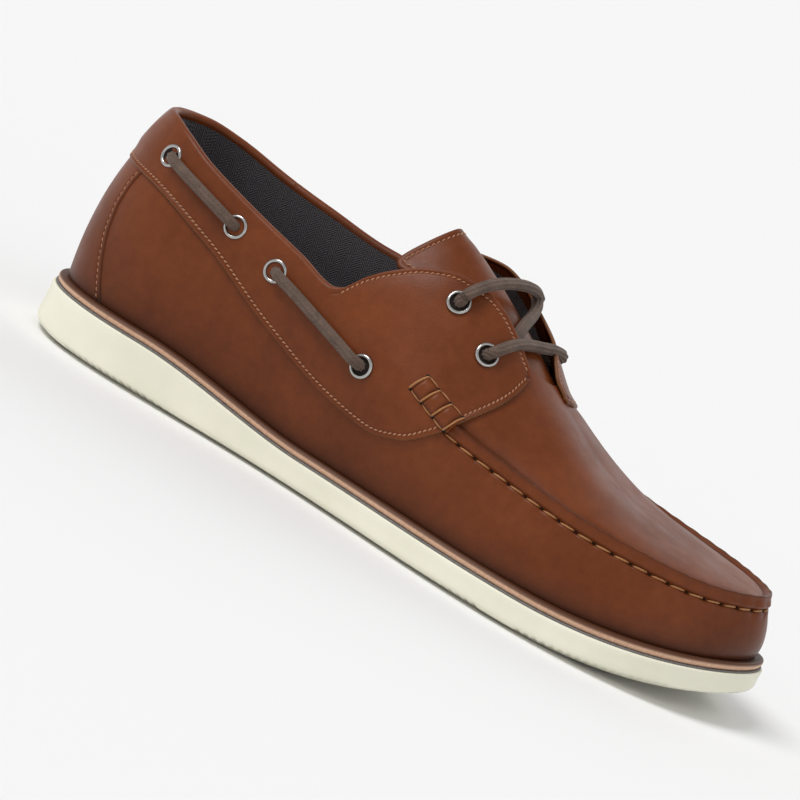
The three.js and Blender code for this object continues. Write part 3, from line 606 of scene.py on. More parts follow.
# ---- finishes
class Shader:
    """Short way to write the node tree of one Principled material."""

    def __init__(self, name: str) -> None:
        """Starts a material with a Principled shader.

        Args:
            name: name of the material.
        """
        self.material = bpy.data.materials.new(name)
        self.material.use_nodes = True
        self.tree = self.material.node_tree
        self.tree.nodes.clear()
        self.out = self.tree.nodes.new("ShaderNodeOutputMaterial")
        self.surface = self.tree.nodes.new("ShaderNodeBsdfPrincipled")
        self.tree.links.new(self.surface.outputs[0], self.out.inputs["Surface"])
        self.place = self.add("ShaderNodeTexCoord").outputs["Object"]

    def add(self, kind: str, inputs: dict | None = None, **settings: object) -> bpy.types.Node:
        """Adds a node, sets its properties, and links or sets its inputs.

        Args:
            kind: type of the node.
            inputs: socket or value for each input, by name or number.
            settings: the node's properties.

        Returns:
            The node.
        """
        node = self.tree.nodes.new(kind)
        for name, value in settings.items():
            setattr(node, name, value)
        for key, value in (inputs or {}).items():
            if isinstance(value, Socket):
                self.tree.links.new(value, node.inputs[key])
            else:
                node.inputs[key].default_value = value
        return node

    def maths(self, operation: str, a: object, b: object = 0.0, c: object = 0.0) -> Socket:
        """Result of one Math node."""
        return self.add("ShaderNodeMath", {0: a, 1: b, 2: c}, operation=operation).outputs[0]

    def noise(self, scale: float, detail: float = 3.0, rough: float = 0.5,
              stretch: tuple = (1, 1, 1)) -> Socket:
        """Value of a noise texture, in object space.

        Args:
            scale: cells per metre.
            detail: octaves.
            rough: weight of each finer octave.
            stretch: scale along the axes.

        Returns:
            Socket from 0 to 1.
        """
        vector = self.add("ShaderNodeMapping", {"Vector": self.place, "Scale": stretch}).outputs[0]
        node = self.add("ShaderNodeTexNoise", {"Vector": vector, "Scale": scale, "Detail": detail,
                                               "Roughness": rough})
        return node.outputs["Fac"]

    def ramp(self, factor: Socket, low: float, high: float,
             to_low: float = 0.0, to_high: float = 1.0) -> Socket:
        """Number mapped from one range to another, clamped."""
        return self.add("ShaderNodeMapRange", {"Value": factor, "From Min": low, "From Max": high,
                                               "To Min": to_low, "To Max": to_high}).outputs[0]

    def mix(self, factor: object, a: object, b: object) -> Socket:
        """Mix of two colours.

        Args:
            factor: socket or number, 0 for a.
            a: socket or colour.
            b: socket or colour.

        Returns:
            Socket of the mixed colour.
        """
        node = self.add("ShaderNodeMix", data_type="RGBA")
        for socket, value in ((node.inputs[0], factor), (node.inputs[6], a), (node.inputs[7], b)):
            if isinstance(value, Socket):
                self.tree.links.new(value, socket)
            else:
                socket.default_value = value if isinstance(value, float) else (*value[:3], 1.0)
        return node.outputs[2]

    def bump(self, height: Socket, depth: float, strength: float = 1.0,
             under: Socket | None = None) -> Socket:
        """Bump from a height, its depth in metres, over another bump if given.

        Args:
            height: height from 0 to 1.
            depth: height of 1 in metres.
            strength: weight of the bump.
            under: bump that this one lies on.

        Returns:
            Socket of the normal.
        """
        inputs = {"Height": height, "Distance": depth, "Strength": strength}
        if under is not None:
            inputs["Normal"] = under
        return self.add("ShaderNodeBump", inputs).outputs[0]

    def attribute(self, name: str) -> Socket:
        """Number stored on the mesh."""
        return self.add("ShaderNodeAttribute", attribute_name=name, attribute_type="GEOMETRY").outputs["Fac"]

    def set(self, **values: object) -> None:
        """Sets or links inputs of the Principled shader, named with underscores for spaces.

        Args:
            values: sockets or values.
        """
        for key, value in values.items():
            socket = self.surface.inputs[key.replace("_", " ")]
            if isinstance(value, Socket):
                self.tree.links.new(value, socket)
            else:
                wide = isinstance(value, tuple) and len(socket.default_value) > len(value)
                socket.default_value = (*value, 1.0) if wide else value


@dataclass(frozen=True)
class Leather:
    """Smooth waxed leather with a fine grain.

    The mesh's number shade turns it towards its dark edge colour above 0, as painted shade in grooves, stitch
    troughs, tucks, gaps and undersides and as the darkening just above the welt, and towards raw leather
    below 0.
    """

    name: str = "leather_brown"
    light: tuple = (0.178, 0.042, 0.009)
    dark: tuple = (0.108, 0.023, 0.004)
    # edge: near-black brown, the colour of painted shade
    edge: tuple = (0.028, 0.007, 0.002)
    raw: tuple = (0.17, 0.095, 0.042)
    roughness: float = 0.38
    grain: float = 0.00005

    def make(self) -> Material:
        """Builds the material.

        Returns:
            Material.
        """
        s = Shader(self.name)
        cloud = s.ramp(s.noise(26, 4, 0.6), 0.32, 0.68)
        mottle = s.ramp(s.noise(240, 3, 0.6), 0.3, 0.7)
        tone = s.maths("ADD", s.maths("MULTIPLY", cloud, 0.65), s.maths("MULTIPLY", mottle, 0.35))
        colour = s.mix(tone, self.dark, self.light)
        shade = s.attribute("shade")
        # painted shade: shade above 0 darkens towards the edge colour; shade below 0 gives the raw leather of
        # cut edges
        colour = s.mix(s.ramp(shade, 0.0, 1.0), colour, self.edge)
        colour = s.mix(s.ramp(shade, 0.0, -1.0), colour, self.raw)
        pores = s.add("ShaderNodeTexVoronoi", {"Vector": s.place, "Scale": 1500.0}, feature="F1").outputs[0]
        rough = s.ramp(s.noise(90, 4, 0.6), 0.3, 0.7, self.roughness - 0.05, self.roughness + 0.08)
        grain = s.bump(s.noise(1100, 4, 0.6), self.grain, 0.6)
        s.set(Base_Color=colour, Roughness=rough, Specular_IOR_Level=0.2,
              Normal=s.bump(pores, self.grain, 0.5, grain))
        return s.material


@dataclass(frozen=True)
class Rubber:
    """Matt off-white rubber; siped on the tread, with painted shade in the sipe cuts."""

    name: str = "rubber_white"
    light: tuple = (0.83, 0.805, 0.675)
    dark: tuple = (0.77, 0.75, 0.61)
    sipes: bool = False
    sipe_shade: tuple = (0.45, 0.47, 0.36)
    pitch: float = 0.0034
    sway: float = 0.0011
    wave: float = 0.0090
    depth: float = 0.0009

    def make(self) -> Material:
        """Builds the material.

        Returns:
            Material.
        """
        s = Shader(self.name)
        colour = s.mix(s.ramp(s.noise(30, 3, 0.6), 0.35, 0.65), self.dark, self.light)
        normal = s.bump(s.noise(700, 3, 0.6), 0.00006, 0.5)
        if self.sipes:
            axes = s.add("ShaderNodeSeparateXYZ", {0: s.place})
            turn = s.maths("MULTIPLY", axes.outputs["Y"], 2 * math.pi / self.wave)
            sway = s.maths("MULTIPLY", s.maths("SINE", turn), self.sway)
            shifted = s.maths("ADD", axes.outputs["X"], sway)
            wave = s.maths("SINE", s.maths("MULTIPLY", shifted, 2 * math.pi / self.pitch))
            cut = s.maths("MULTIPLY", s.ramp(wave, 0.35, 0.9), s.attribute("siped"))
            normal = s.bump(s.maths("SUBTRACT", 1.0, cut), self.depth, 1.0, normal)
            # painted shade: the rubber darkens in the sipe cuts
            colour = s.mix(s.maths("MULTIPLY", cut, 0.35), colour, self.sipe_shade)
        s.set(Base_Color=colour, Roughness=0.55, Specular_IOR_Level=0.35, Subsurface_Weight=0.06,
              Subsurface_Radius=(0.003, 0.003, 0.002), Normal=normal)
        return s.material


@dataclass(frozen=True)
class Knit:
    """Dark knitted or twill cloth."""

    name: str = "lining_grey"
    light: tuple = (0.125, 0.112, 0.120)
    dark: tuple = (0.016, 0.014, 0.017)
    pitch: float = 0.0011

    def make(self) -> Material:
        """Builds the material.

        Returns:
            Material.
        """
        s = Shader(self.name)
        axes = s.add("ShaderNodeSeparateXYZ", {0: s.place})
        row = s.maths("ADD", axes.outputs["Z"], s.maths("MULTIPLY", axes.outputs["Y"], 0.45))
        zig = s.maths("PINGPONG", axes.outputs["X"], 3.2 * self.pitch)
        rows = s.maths("SINE", s.maths("MULTIPLY", s.maths("ADD", row, zig), 2 * math.pi / self.pitch))
        columns = s.maths("SINE", s.maths("MULTIPLY", axes.outputs["X"], 2 * math.pi / (self.pitch * 0.8)))
        weave = s.ramp(s.maths("ADD", rows, s.maths("MULTIPLY", columns, 0.5)), -1.2, 1.3)
        fuzz = s.ramp(s.noise(2200, 3, 0.6), 0.3, 0.7)
        tone = s.maths("ADD", s.maths("MULTIPLY", weave, 0.7), s.maths("MULTIPLY", fuzz, 0.3))
        s.set(Base_Color=s.mix(tone, self.dark, self.light), Roughness=0.9, Specular_IOR_Level=0.2,
              Sheen_Weight=0.15, Normal=s.bump(tone, 0.0004, 0.7))
        return s.material


@dataclass(frozen=True)
class Cord:
    """Braided or twisted thread: a base colour with fine fibres."""

    name: str
    light: tuple
    dark: tuple
    roughness: float = 0.7
    fibre: float = 2600.0
    depth: float = 0.00012

    def make(self) -> Material:
        """Builds the material.

        Returns:
            Material.
        """
        s = Shader(self.name)
        fibres = s.noise(self.fibre, 3, 0.65)
        patch = s.ramp(s.noise(160, 3, 0.6), 0.3, 0.7)
        fuzz = s.maths("MULTIPLY", s.ramp(fibres, 0.3, 0.7), 0.6)
        tone = s.maths("ADD", fuzz, s.maths("MULTIPLY", patch, 0.4))
        s.set(Base_Color=s.mix(tone, self.dark, self.light), Roughness=self.roughness,
              Specular_IOR_Level=0.3, Sheen_Weight=0.1, Normal=s.bump(fibres, self.depth, 0.6))
        return s.material


@dataclass(frozen=True)
class Nickel:
    """Polished nickel with faint scratches."""

    name: str = "eyelet_nickel"
    # darker than polished nickel, standing in for the darker surroundings it would reflect: painted
    # reflection
    colour: tuple = (0.43, 0.42, 0.405)
    roughness: tuple = (0.14, 0.28)

    def make(self) -> Material:
        """Builds the material.

        Returns:
            Material.
        """
        s = Shader(self.name)
        rough = s.ramp(s.noise(1400, 4, 0.6), 0.3, 0.7, *self.roughness)
        s.set(Base_Color=self.colour, Metallic=1.0, Roughness=rough,
              Normal=s.bump(s.noise(600, 3, 0.5), 0.00004, 0.4))
        return s.material


@dataclass(frozen=True)
class Plain:
    """Even matt finish with a fine speckle, turned towards its edge colour, a dark brown of painted shade, by
    the mesh's number shade.
    """

    name: str
    light: tuple
    dark: tuple
    roughness: float = 0.6
    scale: float = 900.0
    # edge: dark brown, the colour of painted shade
    edge: tuple = (0.085, 0.030, 0.013)

    def make(self) -> Material:
        """Builds the material.

        Returns:
            Material.
        """
        s = Shader(self.name)
        speck = s.noise(self.scale, 4, 0.65)
        colour = s.mix(s.ramp(speck, 0.32, 0.68), self.dark, self.light)
        colour = s.mix(s.attribute("shade"), colour, self.edge)
        s.set(Base_Color=colour, Roughness=self.roughness,
              Specular_IOR_Level=0.3, Normal=s.bump(speck, 0.00008, 0.5))
        return s.material


class Finishes:
    """Every finish of the shoe, each made once."""

    def __init__(self) -> None:
        """Builds the materials."""
        self.leather = Leather().make()
        self.rubber = Rubber().make()
        self.tread = Rubber(name="rubber_tread", sipes=True).make()
        self.welt = Plain("welt_tan", (0.66, 0.42, 0.285), (0.52, 0.31, 0.20), 0.5).make()
        self.line = Plain("edge_line_grey", (0.20, 0.185, 0.175), (0.12, 0.11, 0.105), 0.6).make()
        self.lining = Knit().make()
        self.footbed = Knit(name="footbed_grey", light=(0.07, 0.062, 0.06), dark=(0.03, 0.026, 0.026)).make()
        self.lace = Cord("lace_taupe", (0.165, 0.108, 0.080), (0.045, 0.028, 0.021), 0.8, 2000,
                         0.00025).make()
        self.thread = Cord("thread_tan", (0.44, 0.20, 0.072), (0.26, 0.105, 0.034), 0.5, 3000,
                           0.00005).make()
        self.fine_thread = Cord("thread_fine", (0.50, 0.235, 0.120), (0.28, 0.115, 0.052), 0.55, 3000,
                                0.00004).make()
        # near-black patches of painted shade in the needle holes, the eyelet holes and the ladder's holes
        self.hole = Plain("painted_hole_shade", (0.012, 0.006, 0.004), (0.006, 0.003, 0.002), 0.9).make()
        self.nickel = Nickel().make()


# ---- making meshes
class Bench:
    """Turns pattern millimetres into pieces of the model.

    SOLE_LOW, SOLE_HIGH and TONGUE_TOP are the ends of the CAD sole and tongue in the pattern; SHIFT centres
    the dressed sole on them.
    """

    SOLE_LOW = np.array([-151.06, -52.76])
    SOLE_HIGH = np.array([151.05, 52.76])
    TONGUE_TOP = 111.2
    SHIFT = np.array([-0.055, -0.07, 0.0])

    def __init__(self) -> None:
        """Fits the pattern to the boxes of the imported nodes."""
        low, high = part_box("outsole")
        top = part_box("tongue")[1].z
        flat = (np.array(high)[:2] - np.array(low)[:2]) / (self.SOLE_HIGH - self.SOLE_LOW)
        self.scale = np.array([*flat, top / self.TONGUE_TOP])
        self.origin = np.array([*(np.array(low)[:2] - self.SOLE_LOW * flat), 0.0])

    def metres(self, points: Array) -> Array:
        """Frame positions, in metres, of pattern points."""
        return (np.asarray(points, float) + self.SHIFT) * self.scale + self.origin

    def piece(self, name: str, points: Array, faces: list, finish: Material, slot: Slot,
              nodes: tuple = (), **numbers: Array) -> bpy.types.Object:
        """Makes one piece that rides on the shoe.

        Args:
            name: name of the piece.
            points: pattern points, (N, 3).
            faces: rows of point numbers.
            finish: material.
            slot: not used.
            nodes: CAD nodes that the piece stands for.
            numbers: numbers per point, stored under their names for the finish.

        Returns:
            The new object.
        """
        mesh = bpy.data.meshes.new(name)
        rows = [tuple(int(i) for i in row) for row in faces]
        mesh.from_pydata(self.metres(points).tolist(), [], rows)
        for key, values in numbers.items():
            layer = mesh.attributes.new(key, "FLOAT", "POINT")
            layer.data.foreach_set("value", np.asarray(values, np.float32).ravel())
        mesh.polygons.foreach_set("use_smooth", [True] * len(mesh.polygons))
        mesh.validate()
        mesh.update()
        mesh.materials.append(finish)
        made = bpy.data.objects.new(name, mesh)
        bpy.context.scene.collection.objects.link(made)
        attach(made, "root")
        if nodes:
            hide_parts(*nodes)
        LOG.info("%s: %d faces", name, len(rows))
        return made


@dataclass(frozen=True)
class LockStitch:
    """Sizes of one row of small stitches, in millimetres.

    margin is left bare at both ends of the row, reach is how far to each side its direction is measured and
    lift is the thread's height over the leather; sink and lean are those of Patch.stitches.
    """

    pitch: float
    length: float
    radius: float
    margin: float
    reach: float
    lift: float
    sink: float = 1.5
    lean: float = 0.34


class Patch:
    """Points and quads collected for one mesh."""

    THREAD_TAPER = (0.55, 0.9, 1, 1, 1, 0.9, 0.55)

    def __init__(self) -> None:
        """Starts empty."""
        self.points: list = []
        self.faces: list = []
        self.numbers: dict = {}
        self.count = 0

    def grid(self, points: Array, wrap_rows: bool = False, wrap_columns: bool = False,
             flip: bool = False, **numbers: Array) -> None:
        """Adds a grid of points, (A, B, 3), as quads.

        Args:
            points: the grid; faces look outwards when rows run anticlockwise seen from outside.
            wrap_rows: join the last row to the first.
            wrap_columns: join the last column to the first.
            flip: turn the faces over.
            numbers: numbers per point, (A, B).
        """
        a, b = points.shape[:2]
        index = self.count + np.arange(a * b).reshape(a, b)
        if wrap_rows:
            index = np.concatenate([index, index[:1]])
        if wrap_columns:
            index = np.concatenate([index, index[:, :1]], axis=1)
        corners = [index[:-1, :-1], index[1:, :-1], index[1:, 1:], index[:-1, 1:]]
        quads = np.stack(corners, axis=-1).reshape(-1, 4)
        self.faces.append(quads[:, ::-1] if flip else quads)
        self.points.append(points.reshape(-1, 3))
        for key in numbers:
            self.numbers.setdefault(key, []).append(np.asarray(numbers[key], float).ravel())
        self.count += a * b

    def fan(self, ring: Array, flip: bool = False) -> None:
        """Adds one polygon round a ring of points.

        Args:
            ring: points, (N, 3).
            flip: turn the face over.
        """
        index = self.count + np.arange(len(ring))
        self.faces.append([tuple(index[::-1] if flip else index)])
        self.points.append(ring)
        self.count += len(ring)

    def rows(self) -> list:
        """All faces."""
        return [row for block in self.faces for row in block]

    def make(self, bench: Bench, name: str, finish: Material, slot: Slot,
             nodes: tuple = ()) -> bpy.types.Object:
        """Makes the piece.

        Args:
            bench: bench that places it.
            name: name of the piece.
            finish: material.
            slot: record slot.
            nodes: CAD nodes that it stands for.

        Returns:
            The new object.
        """
        numbers = {key: np.concatenate(values) for key, values in self.numbers.items()}
        return bench.piece(name, np.concatenate(self.points), self.rows(), finish, slot, nodes, **numbers)

    def tube(self, path: Array, radius: Array, normal: Array, sides: int = 8, flat: float = 1.0,
             ribs: int = 0, rib_depth: float = 0.0) -> None:
        """Adds a capped tube.

        Args:
            path: centre line, (K, 3).
            radius: radius at each point or one number.
            normal: direction that is up across the tube, (3,) or (K, 3).
            sides: points round the tube.
            flat: height over width.
            ribs: ribs round the tube.
            rib_depth: depth of the ribs as a share of the radius.
        """
        run = unit(np.gradient(path, axis=0))
        across = unit(np.cross(run, np.broadcast_to(normal, path.shape)))
        up = np.cross(across, run)
        angle = np.linspace(0, 2 * np.pi, sides, endpoint=False)
        shape = 1 + rib_depth * np.cos(ribs * angle)
        r = np.broadcast_to(radius, (len(path),))[:, None, None]
        sideways, upwards = np.cos(angle) * shape, np.sin(angle) * shape * flat
        ring = across[:, None] * sideways[:, None] + up[:, None] * upwards[:, None]
        points = path[:, None] + r * ring
        start = self.count
        self.grid(points, wrap_columns=True)
        last = start + (len(path) - 1) * sides
        self.faces.append([tuple(range(start, start + sides)), tuple(range(last + sides - 1, last - 1, -1))])

    def stitches(self, centres: Array, runs: Array, normals: Array, length: float, radius: float,
                 sink: float = 0.9, lean: float = 0.0) -> None:
        """Adds thread stitches, each a short arc that dives at both ends.

        Args:
            centres: middles of the stitches, (S, 3).
            runs: directions, (S, 3).
            normals: outward directions, (S, 3).
            length: length of a stitch.
            radius: radius of the thread.
            sink: depth of the ends under the middle, in radii.
            lean: sideways slant of a stitch, as a share of its length.
        """
        share = np.linspace(-1, 1, len(self.THREAD_TAPER))
        dive = -sink * radius * np.abs(share) ** 3
        thin = np.array(self.THREAD_TAPER) * radius
        for c, run, n in zip(centres, unit(runs), unit(normals)):
            side = np.cross(n, run)
            path = c + share[:, None] * length / 2 * run + share[:, None] * lean * length / 2 * side
            self.tube(path + dive[:, None] * n, thin, n, 6)

    def stitch_row(self, line: Array, sewn: LockStitch) -> None:
        """Adds a row of lock stitches.

        Args:
            line: rows of a place and its outward direction, (K, 6).
            sewn: sizes of the stitches.
        """
        total = arc_lengths(line[:, :3])[-1]
        marks = np.arange(sewn.margin, total - sewn.margin, sewn.pitch)
        at = along(line, marks)
        run = along(line, marks + sewn.reach) - along(line, marks - sewn.reach)
        n = unit(at[:, 3:])
        centres = at[:, :3] + n * sewn.lift
        self.stitches(centres, run[:, :3], n, sewn.length, sewn.radius, sewn.sink, sewn.lean)


# ---- sole
@dataclass
class Sole:
    """Rubber sole with its tread, the grey line and the tan welt, and the footbed."""

    bench: Bench
    finishes: Finishes
    columns: int = 420
    border: float = 7.0
    border_rise: float = 2.2
    channel_inset: float = 11.5
    channel_width: float = 2.2
    channel_depth: float = 1.3
    welt_inset: float = 1.1
    notch_pitch: float = 3.4
    stitch_pitch: float = 6.4
    stitch_radius: float = 0.5
    groove_depth: float = 1.4
    groove_width: float = 1.1
    hidden_inset: float = 9.0
    # Rounded foot of the wall: inset, height over the underside less the border's rise, share of the notch
    foot: tuple = ((0.35, 0.35, 0.5), (0.08, 0.9, 0.15), (0.0, 1.6, 0.0))
    # Lip on top of the wall: inset, drop under the rubber's top
    lip: tuple = ((0.0, 1.3), (0.06, 0.85), (0.28, 0.5), (0.7, 0.35), (3.0, 0.35), (9.0, 0.35))
    # Grey line: inset, height over the rubber's top
    line: tuple = ((1.6, -0.4), (1.0, -0.38), (0.85, -0.2), (0.85, 0.25), (1.1, 0.42), (2.4, 0.45))
    # Footbed's rim: inset, height over the feather line
    rim: tuple = ((2.3, -0.2), (2.4, 3.6), (3.4, 4.3), (6.0, 4.1), (12.0, 3.6), (20.0, 3.3))
    forefoot_grooves: tuple = (16, 34, 52, 70, 88, 106)
    heel_grooves: tuple = (-128, -112, -96, -80)

    def ring(self, inset: float, height: callable, u: Array) -> Array:
        """Ring of points at an inset of the edge with a height function of (x, y)."""
        flat = SOLE.edge(u, np.full_like(u, inset))
        return np.concatenate([flat, height(flat[:, 0], flat[:, 1])[:, None]], axis=1)

    def build(self) -> None:
        """Makes every piece of the sole."""
        u = np.linspace(0, 1, self.columns, endpoint=False)
        self.sidewall(u)
        self.tread(u)
        self.channel_stitches()
        self.edge_line(u)
        self.welt(u)
        self.insole()

    def sidewall(self, u: Array) -> None:
        """Rubber wall with a rounded foot, a small lip on top and notches under its edge.

        Args:
            u: places on the outline.
        """
        marks = arc_lengths(np.c_[SOLE.edge(u, np.zeros_like(u)), np.zeros(len(u))])
        x = SOLE.edge(u, np.zeros_like(u))[:, 0]
        notched = 1 - smoothstep(-92, -70, x) + smoothstep(30, 60, x) * 0.8
        notch = notched * (np.mod(marks, self.notch_pitch) < self.notch_pitch * 0.38)
        rise = self.border_rise
        border = ((self.border, 0.0, 0.0), (4.6, rise * 0.34, 0.5), (2.0, rise * 0.68, 0.9),
                  (0.9, rise * 0.9, 0.9))
        foot = tuple((inset, rise + lift, cut) for inset, lift, cut in self.foot)
        rows = []
        for inset, lift, cut in border + foot:
            ring = self.ring(inset, SOLE.bottom, u)
            ring[:, 2] += lift + cut * notch
            rows.append(ring)
        top = SOLE.top
        for share in (0.25, 0.5, 0.75):
            ring = self.ring(0.12 * math.sin(math.pi * share), SOLE.bottom, u)
            low = ring[:, 2] + rise + self.foot[-1][1]
            ring[:, 2] = low + (top(ring[:, 0]) - self.lip[0][1] - low) * share
            rows.append(ring)
        for inset, fall in self.lip:
            rows.append(self.ring(inset, lambda x, y, fall=fall: top(x) - fall, u))
        patch = Patch()
        patch.grid(np.array(rows), wrap_columns=True, flip=True)
        patch.make(self.bench, "outsole_sidewall", self.finishes.rubber, Slot.RUBBER, ("outsole",))

    def siped(self, x: Array, y: Array) -> Array:
        """Share of siping of the tread: none in the shank, the centre channel and the heel recess.

        Args:
            x: places along.
            y: places across.

        Returns:
            1 where the tread is siped.
        """
        shank = 1 - smoothstep(-70, -60, x) * (1 - smoothstep(2, 12, x))
        centre = 1 - smoothstep(9, 7, np.abs(y - 2)) * smoothstep(26, 34, x) * (1 - smoothstep(96, 104, x))
        heel = smoothstep(-116, -108, x) * (1 - smoothstep(-74, -66, x))
        recess = 1 - smoothstep(11, 9, np.abs(y - 1)) * heel
        return shank * centre * recess

    def tread_height(self, x: Array, y: Array) -> Array:
        """Underside with its cross grooves and recesses.

        Args:
            x: places along.
            y: places across.

        Returns:
            Heights.
        """
        z = SOLE.bottom(x, y)
        for at in (*self.forefoot_grooves, *self.heel_grooves):
            z = z + self.groove_depth * bump(x, at, self.groove_width)
        return z + (1 - self.siped(x, y)) * smoothstep(30, 24, np.abs(y - 1))

    def tread(self, u: Array) -> None:
        """Underside: ring of the stitch channel and the siped field inside it.

        Args:
            u: places on the outline.
        """
        patch = Patch()
        outer, inner = self.channel_inset, self.channel_inset + self.channel_width
        rows = []
        for inset, depth in ((self.border, 0), (9.2, 0), (outer - 0.3, 0), (outer + 0.2, 1),
                             (inner - 0.2, 1), (inner + 0.3, 0)):
            ring = self.ring(inset, SOLE.bottom, u)
            ring[:, 2] += depth * self.channel_depth
            rows.append(ring)
        rings = np.array(rows)
        patch.grid(rings, wrap_columns=True, siped=np.zeros(rings.shape[:2]))
        edge = rings[-1]
        toe = int(np.argmax(edge[:, 0]))
        heel = int(np.argmin(edge[:, 0]))
        loop = np.concatenate([edge[heel:], edge[:heel]])
        toe = (toe - heel) % len(edge)
        lateral, medial = loop[: toe + 1], np.concatenate([loop[toe:], loop[:1]])[::-1]
        xs = np.linspace(lateral[0, 0] + 0.05, lateral[-1, 0] - 0.05, 520)
        y0 = np.interp(xs, lateral[:, 0], lateral[:, 1])
        y1 = np.interp(xs, medial[:, 0], medial[:, 1])
        share = np.linspace(0, 1, 64)
        y = y0[:, None] + (y1 - y0)[:, None] * share
        x = np.broadcast_to(xs[:, None], y.shape)
        rim = smoothstep(0, 2.5, np.minimum(y - y0[:, None], y1[:, None] - y))
        z = SOLE.bottom(x, y) + (self.tread_height(x, y) - SOLE.bottom(x, y)) * rim
        patch.grid(np.stack([x, y, z], axis=-1), flip=True, siped=self.siped(x, y) * rim)
        patch.make(self.bench, "outsole_tread", self.finishes.tread, Slot.RUBBER, ("outsole",))

    def channel_stitches(self) -> None:
        """Long stitches in the channel under the sole."""
        u = np.linspace(0, 1, 600, endpoint=False)
        ring = self.ring(self.channel_inset + self.channel_width / 2, SOLE.bottom, u)
        ring[:, 2] += self.channel_depth - 0.35
        total = arc_lengths(ring)[-1]
        marks = np.arange(self.stitch_pitch / 2, total, self.stitch_pitch)
        centres, runs = along(ring, marks), along(ring, marks + 0.5) - along(ring, marks - 0.5)
        patch = Patch()
        down = np.tile([0, 0, -1.0], (len(marks), 1))
        patch.stitches(centres, runs, down, self.stitch_pitch * 0.8, self.stitch_radius)
        patch.make(self.bench, "outsole_stitches", self.finishes.rubber, Slot.RUBBER)

    def edge_line(self, u: Array) -> None:
        """Thin grey line between rubber and welt.

        Args:
            u: places on the outline.
        """
        rows = [self.ring(inset, lambda x, y, lift=lift: SOLE.top(x) + lift, u) for inset, lift in self.line]
        patch = Patch()
        patch.grid(np.array(rows), wrap_columns=True, flip=True)
        patch.make(self.bench, "edge_line", self.finishes.line, Slot.WELT)

    def welt(self, u: Array) -> None:
        """Tan layer with a rounded edge, its upper half and top darkened with painted shade.

        Args:
            u: places on the outline.
        """
        rows = []
        low, high = self.line[-1][1], SOLE.welt + SOLE.gap + 0.1
        middle, half = (low + high) / 2, (high - low) / 2
        angles = np.linspace(-90, 90, 11)
        for angle in angles:
            a = math.radians(angle)
            inset = self.welt_inset + 1.5 * (1 - math.cos(a) ** 0.7 if abs(angle) < 90 else 1.0)
            lift = middle + half * math.sin(a)
            rows.append(self.ring(inset, lambda x, y, lift=lift: SOLE.top(x) + lift, u))
        for inset in (5.0, self.hidden_inset):
            rows.append(self.ring(inset, lambda x, y: SOLE.top(x) + high, u))
        rows.insert(0, self.ring(self.hidden_inset, lambda x, y: SOLE.top(x) + low, u))
        patch = Patch()
        # painted shade: the upper half of the welt's edge and its top turn dark brown, standing in for the
        # shadow under the upper and the dark leather margin above the welt
        edge = smoothstep(4, 26, np.array([-90.0, *angles, 90, 90]))
        shade = np.repeat(edge[:, None], len(u), axis=1)
        patch.grid(np.array(rows), wrap_columns=True, flip=True, shade=shade)
        patch.make(self.bench, "welt", self.finishes.welt, Slot.WELT, ("midsole",))

    def insole(self) -> None:
        """Footbed with a soft raised rim."""
        u = np.linspace(0, 1, 240, endpoint=False)
        r = LAST.rib(u)
        patch = Patch()
        rows = []
        for inset, lift in self.rim:
            p = r["feather"] + r["inward"] * inset
            p[:, 2] = SOLE.feather(p[:, 0]) + lift
            rows.append(p)
        patch.grid(np.array(rows), wrap_columns=True, flip=True)
        centre = rows[-1]
        toe = int(np.argmax(centre[:, 0]))
        lateral, medial = centre[: toe + 1], np.concatenate([centre[toe:], centre[:1]])[::-1]
        xs = np.linspace(centre[:, 0].min() + 0.2, centre[:, 0].max() - 0.2, 120)
        y0, y1 = np.interp(xs, lateral[:, 0], lateral[:, 1]), np.interp(xs, medial[:, 0], medial[:, 1])
        y = y0[:, None] + (y1 - y0)[:, None] * np.linspace(0, 1, 12)
        x = np.broadcast_to(xs[:, None], y.shape)
        patch.grid(np.stack([x, y, SOLE.feather(x) + self.rim[-1][1]], axis=-1))
        patch.make(self.bench, "footbed", self.finishes.footbed, Slot.LINING, ("insole",))


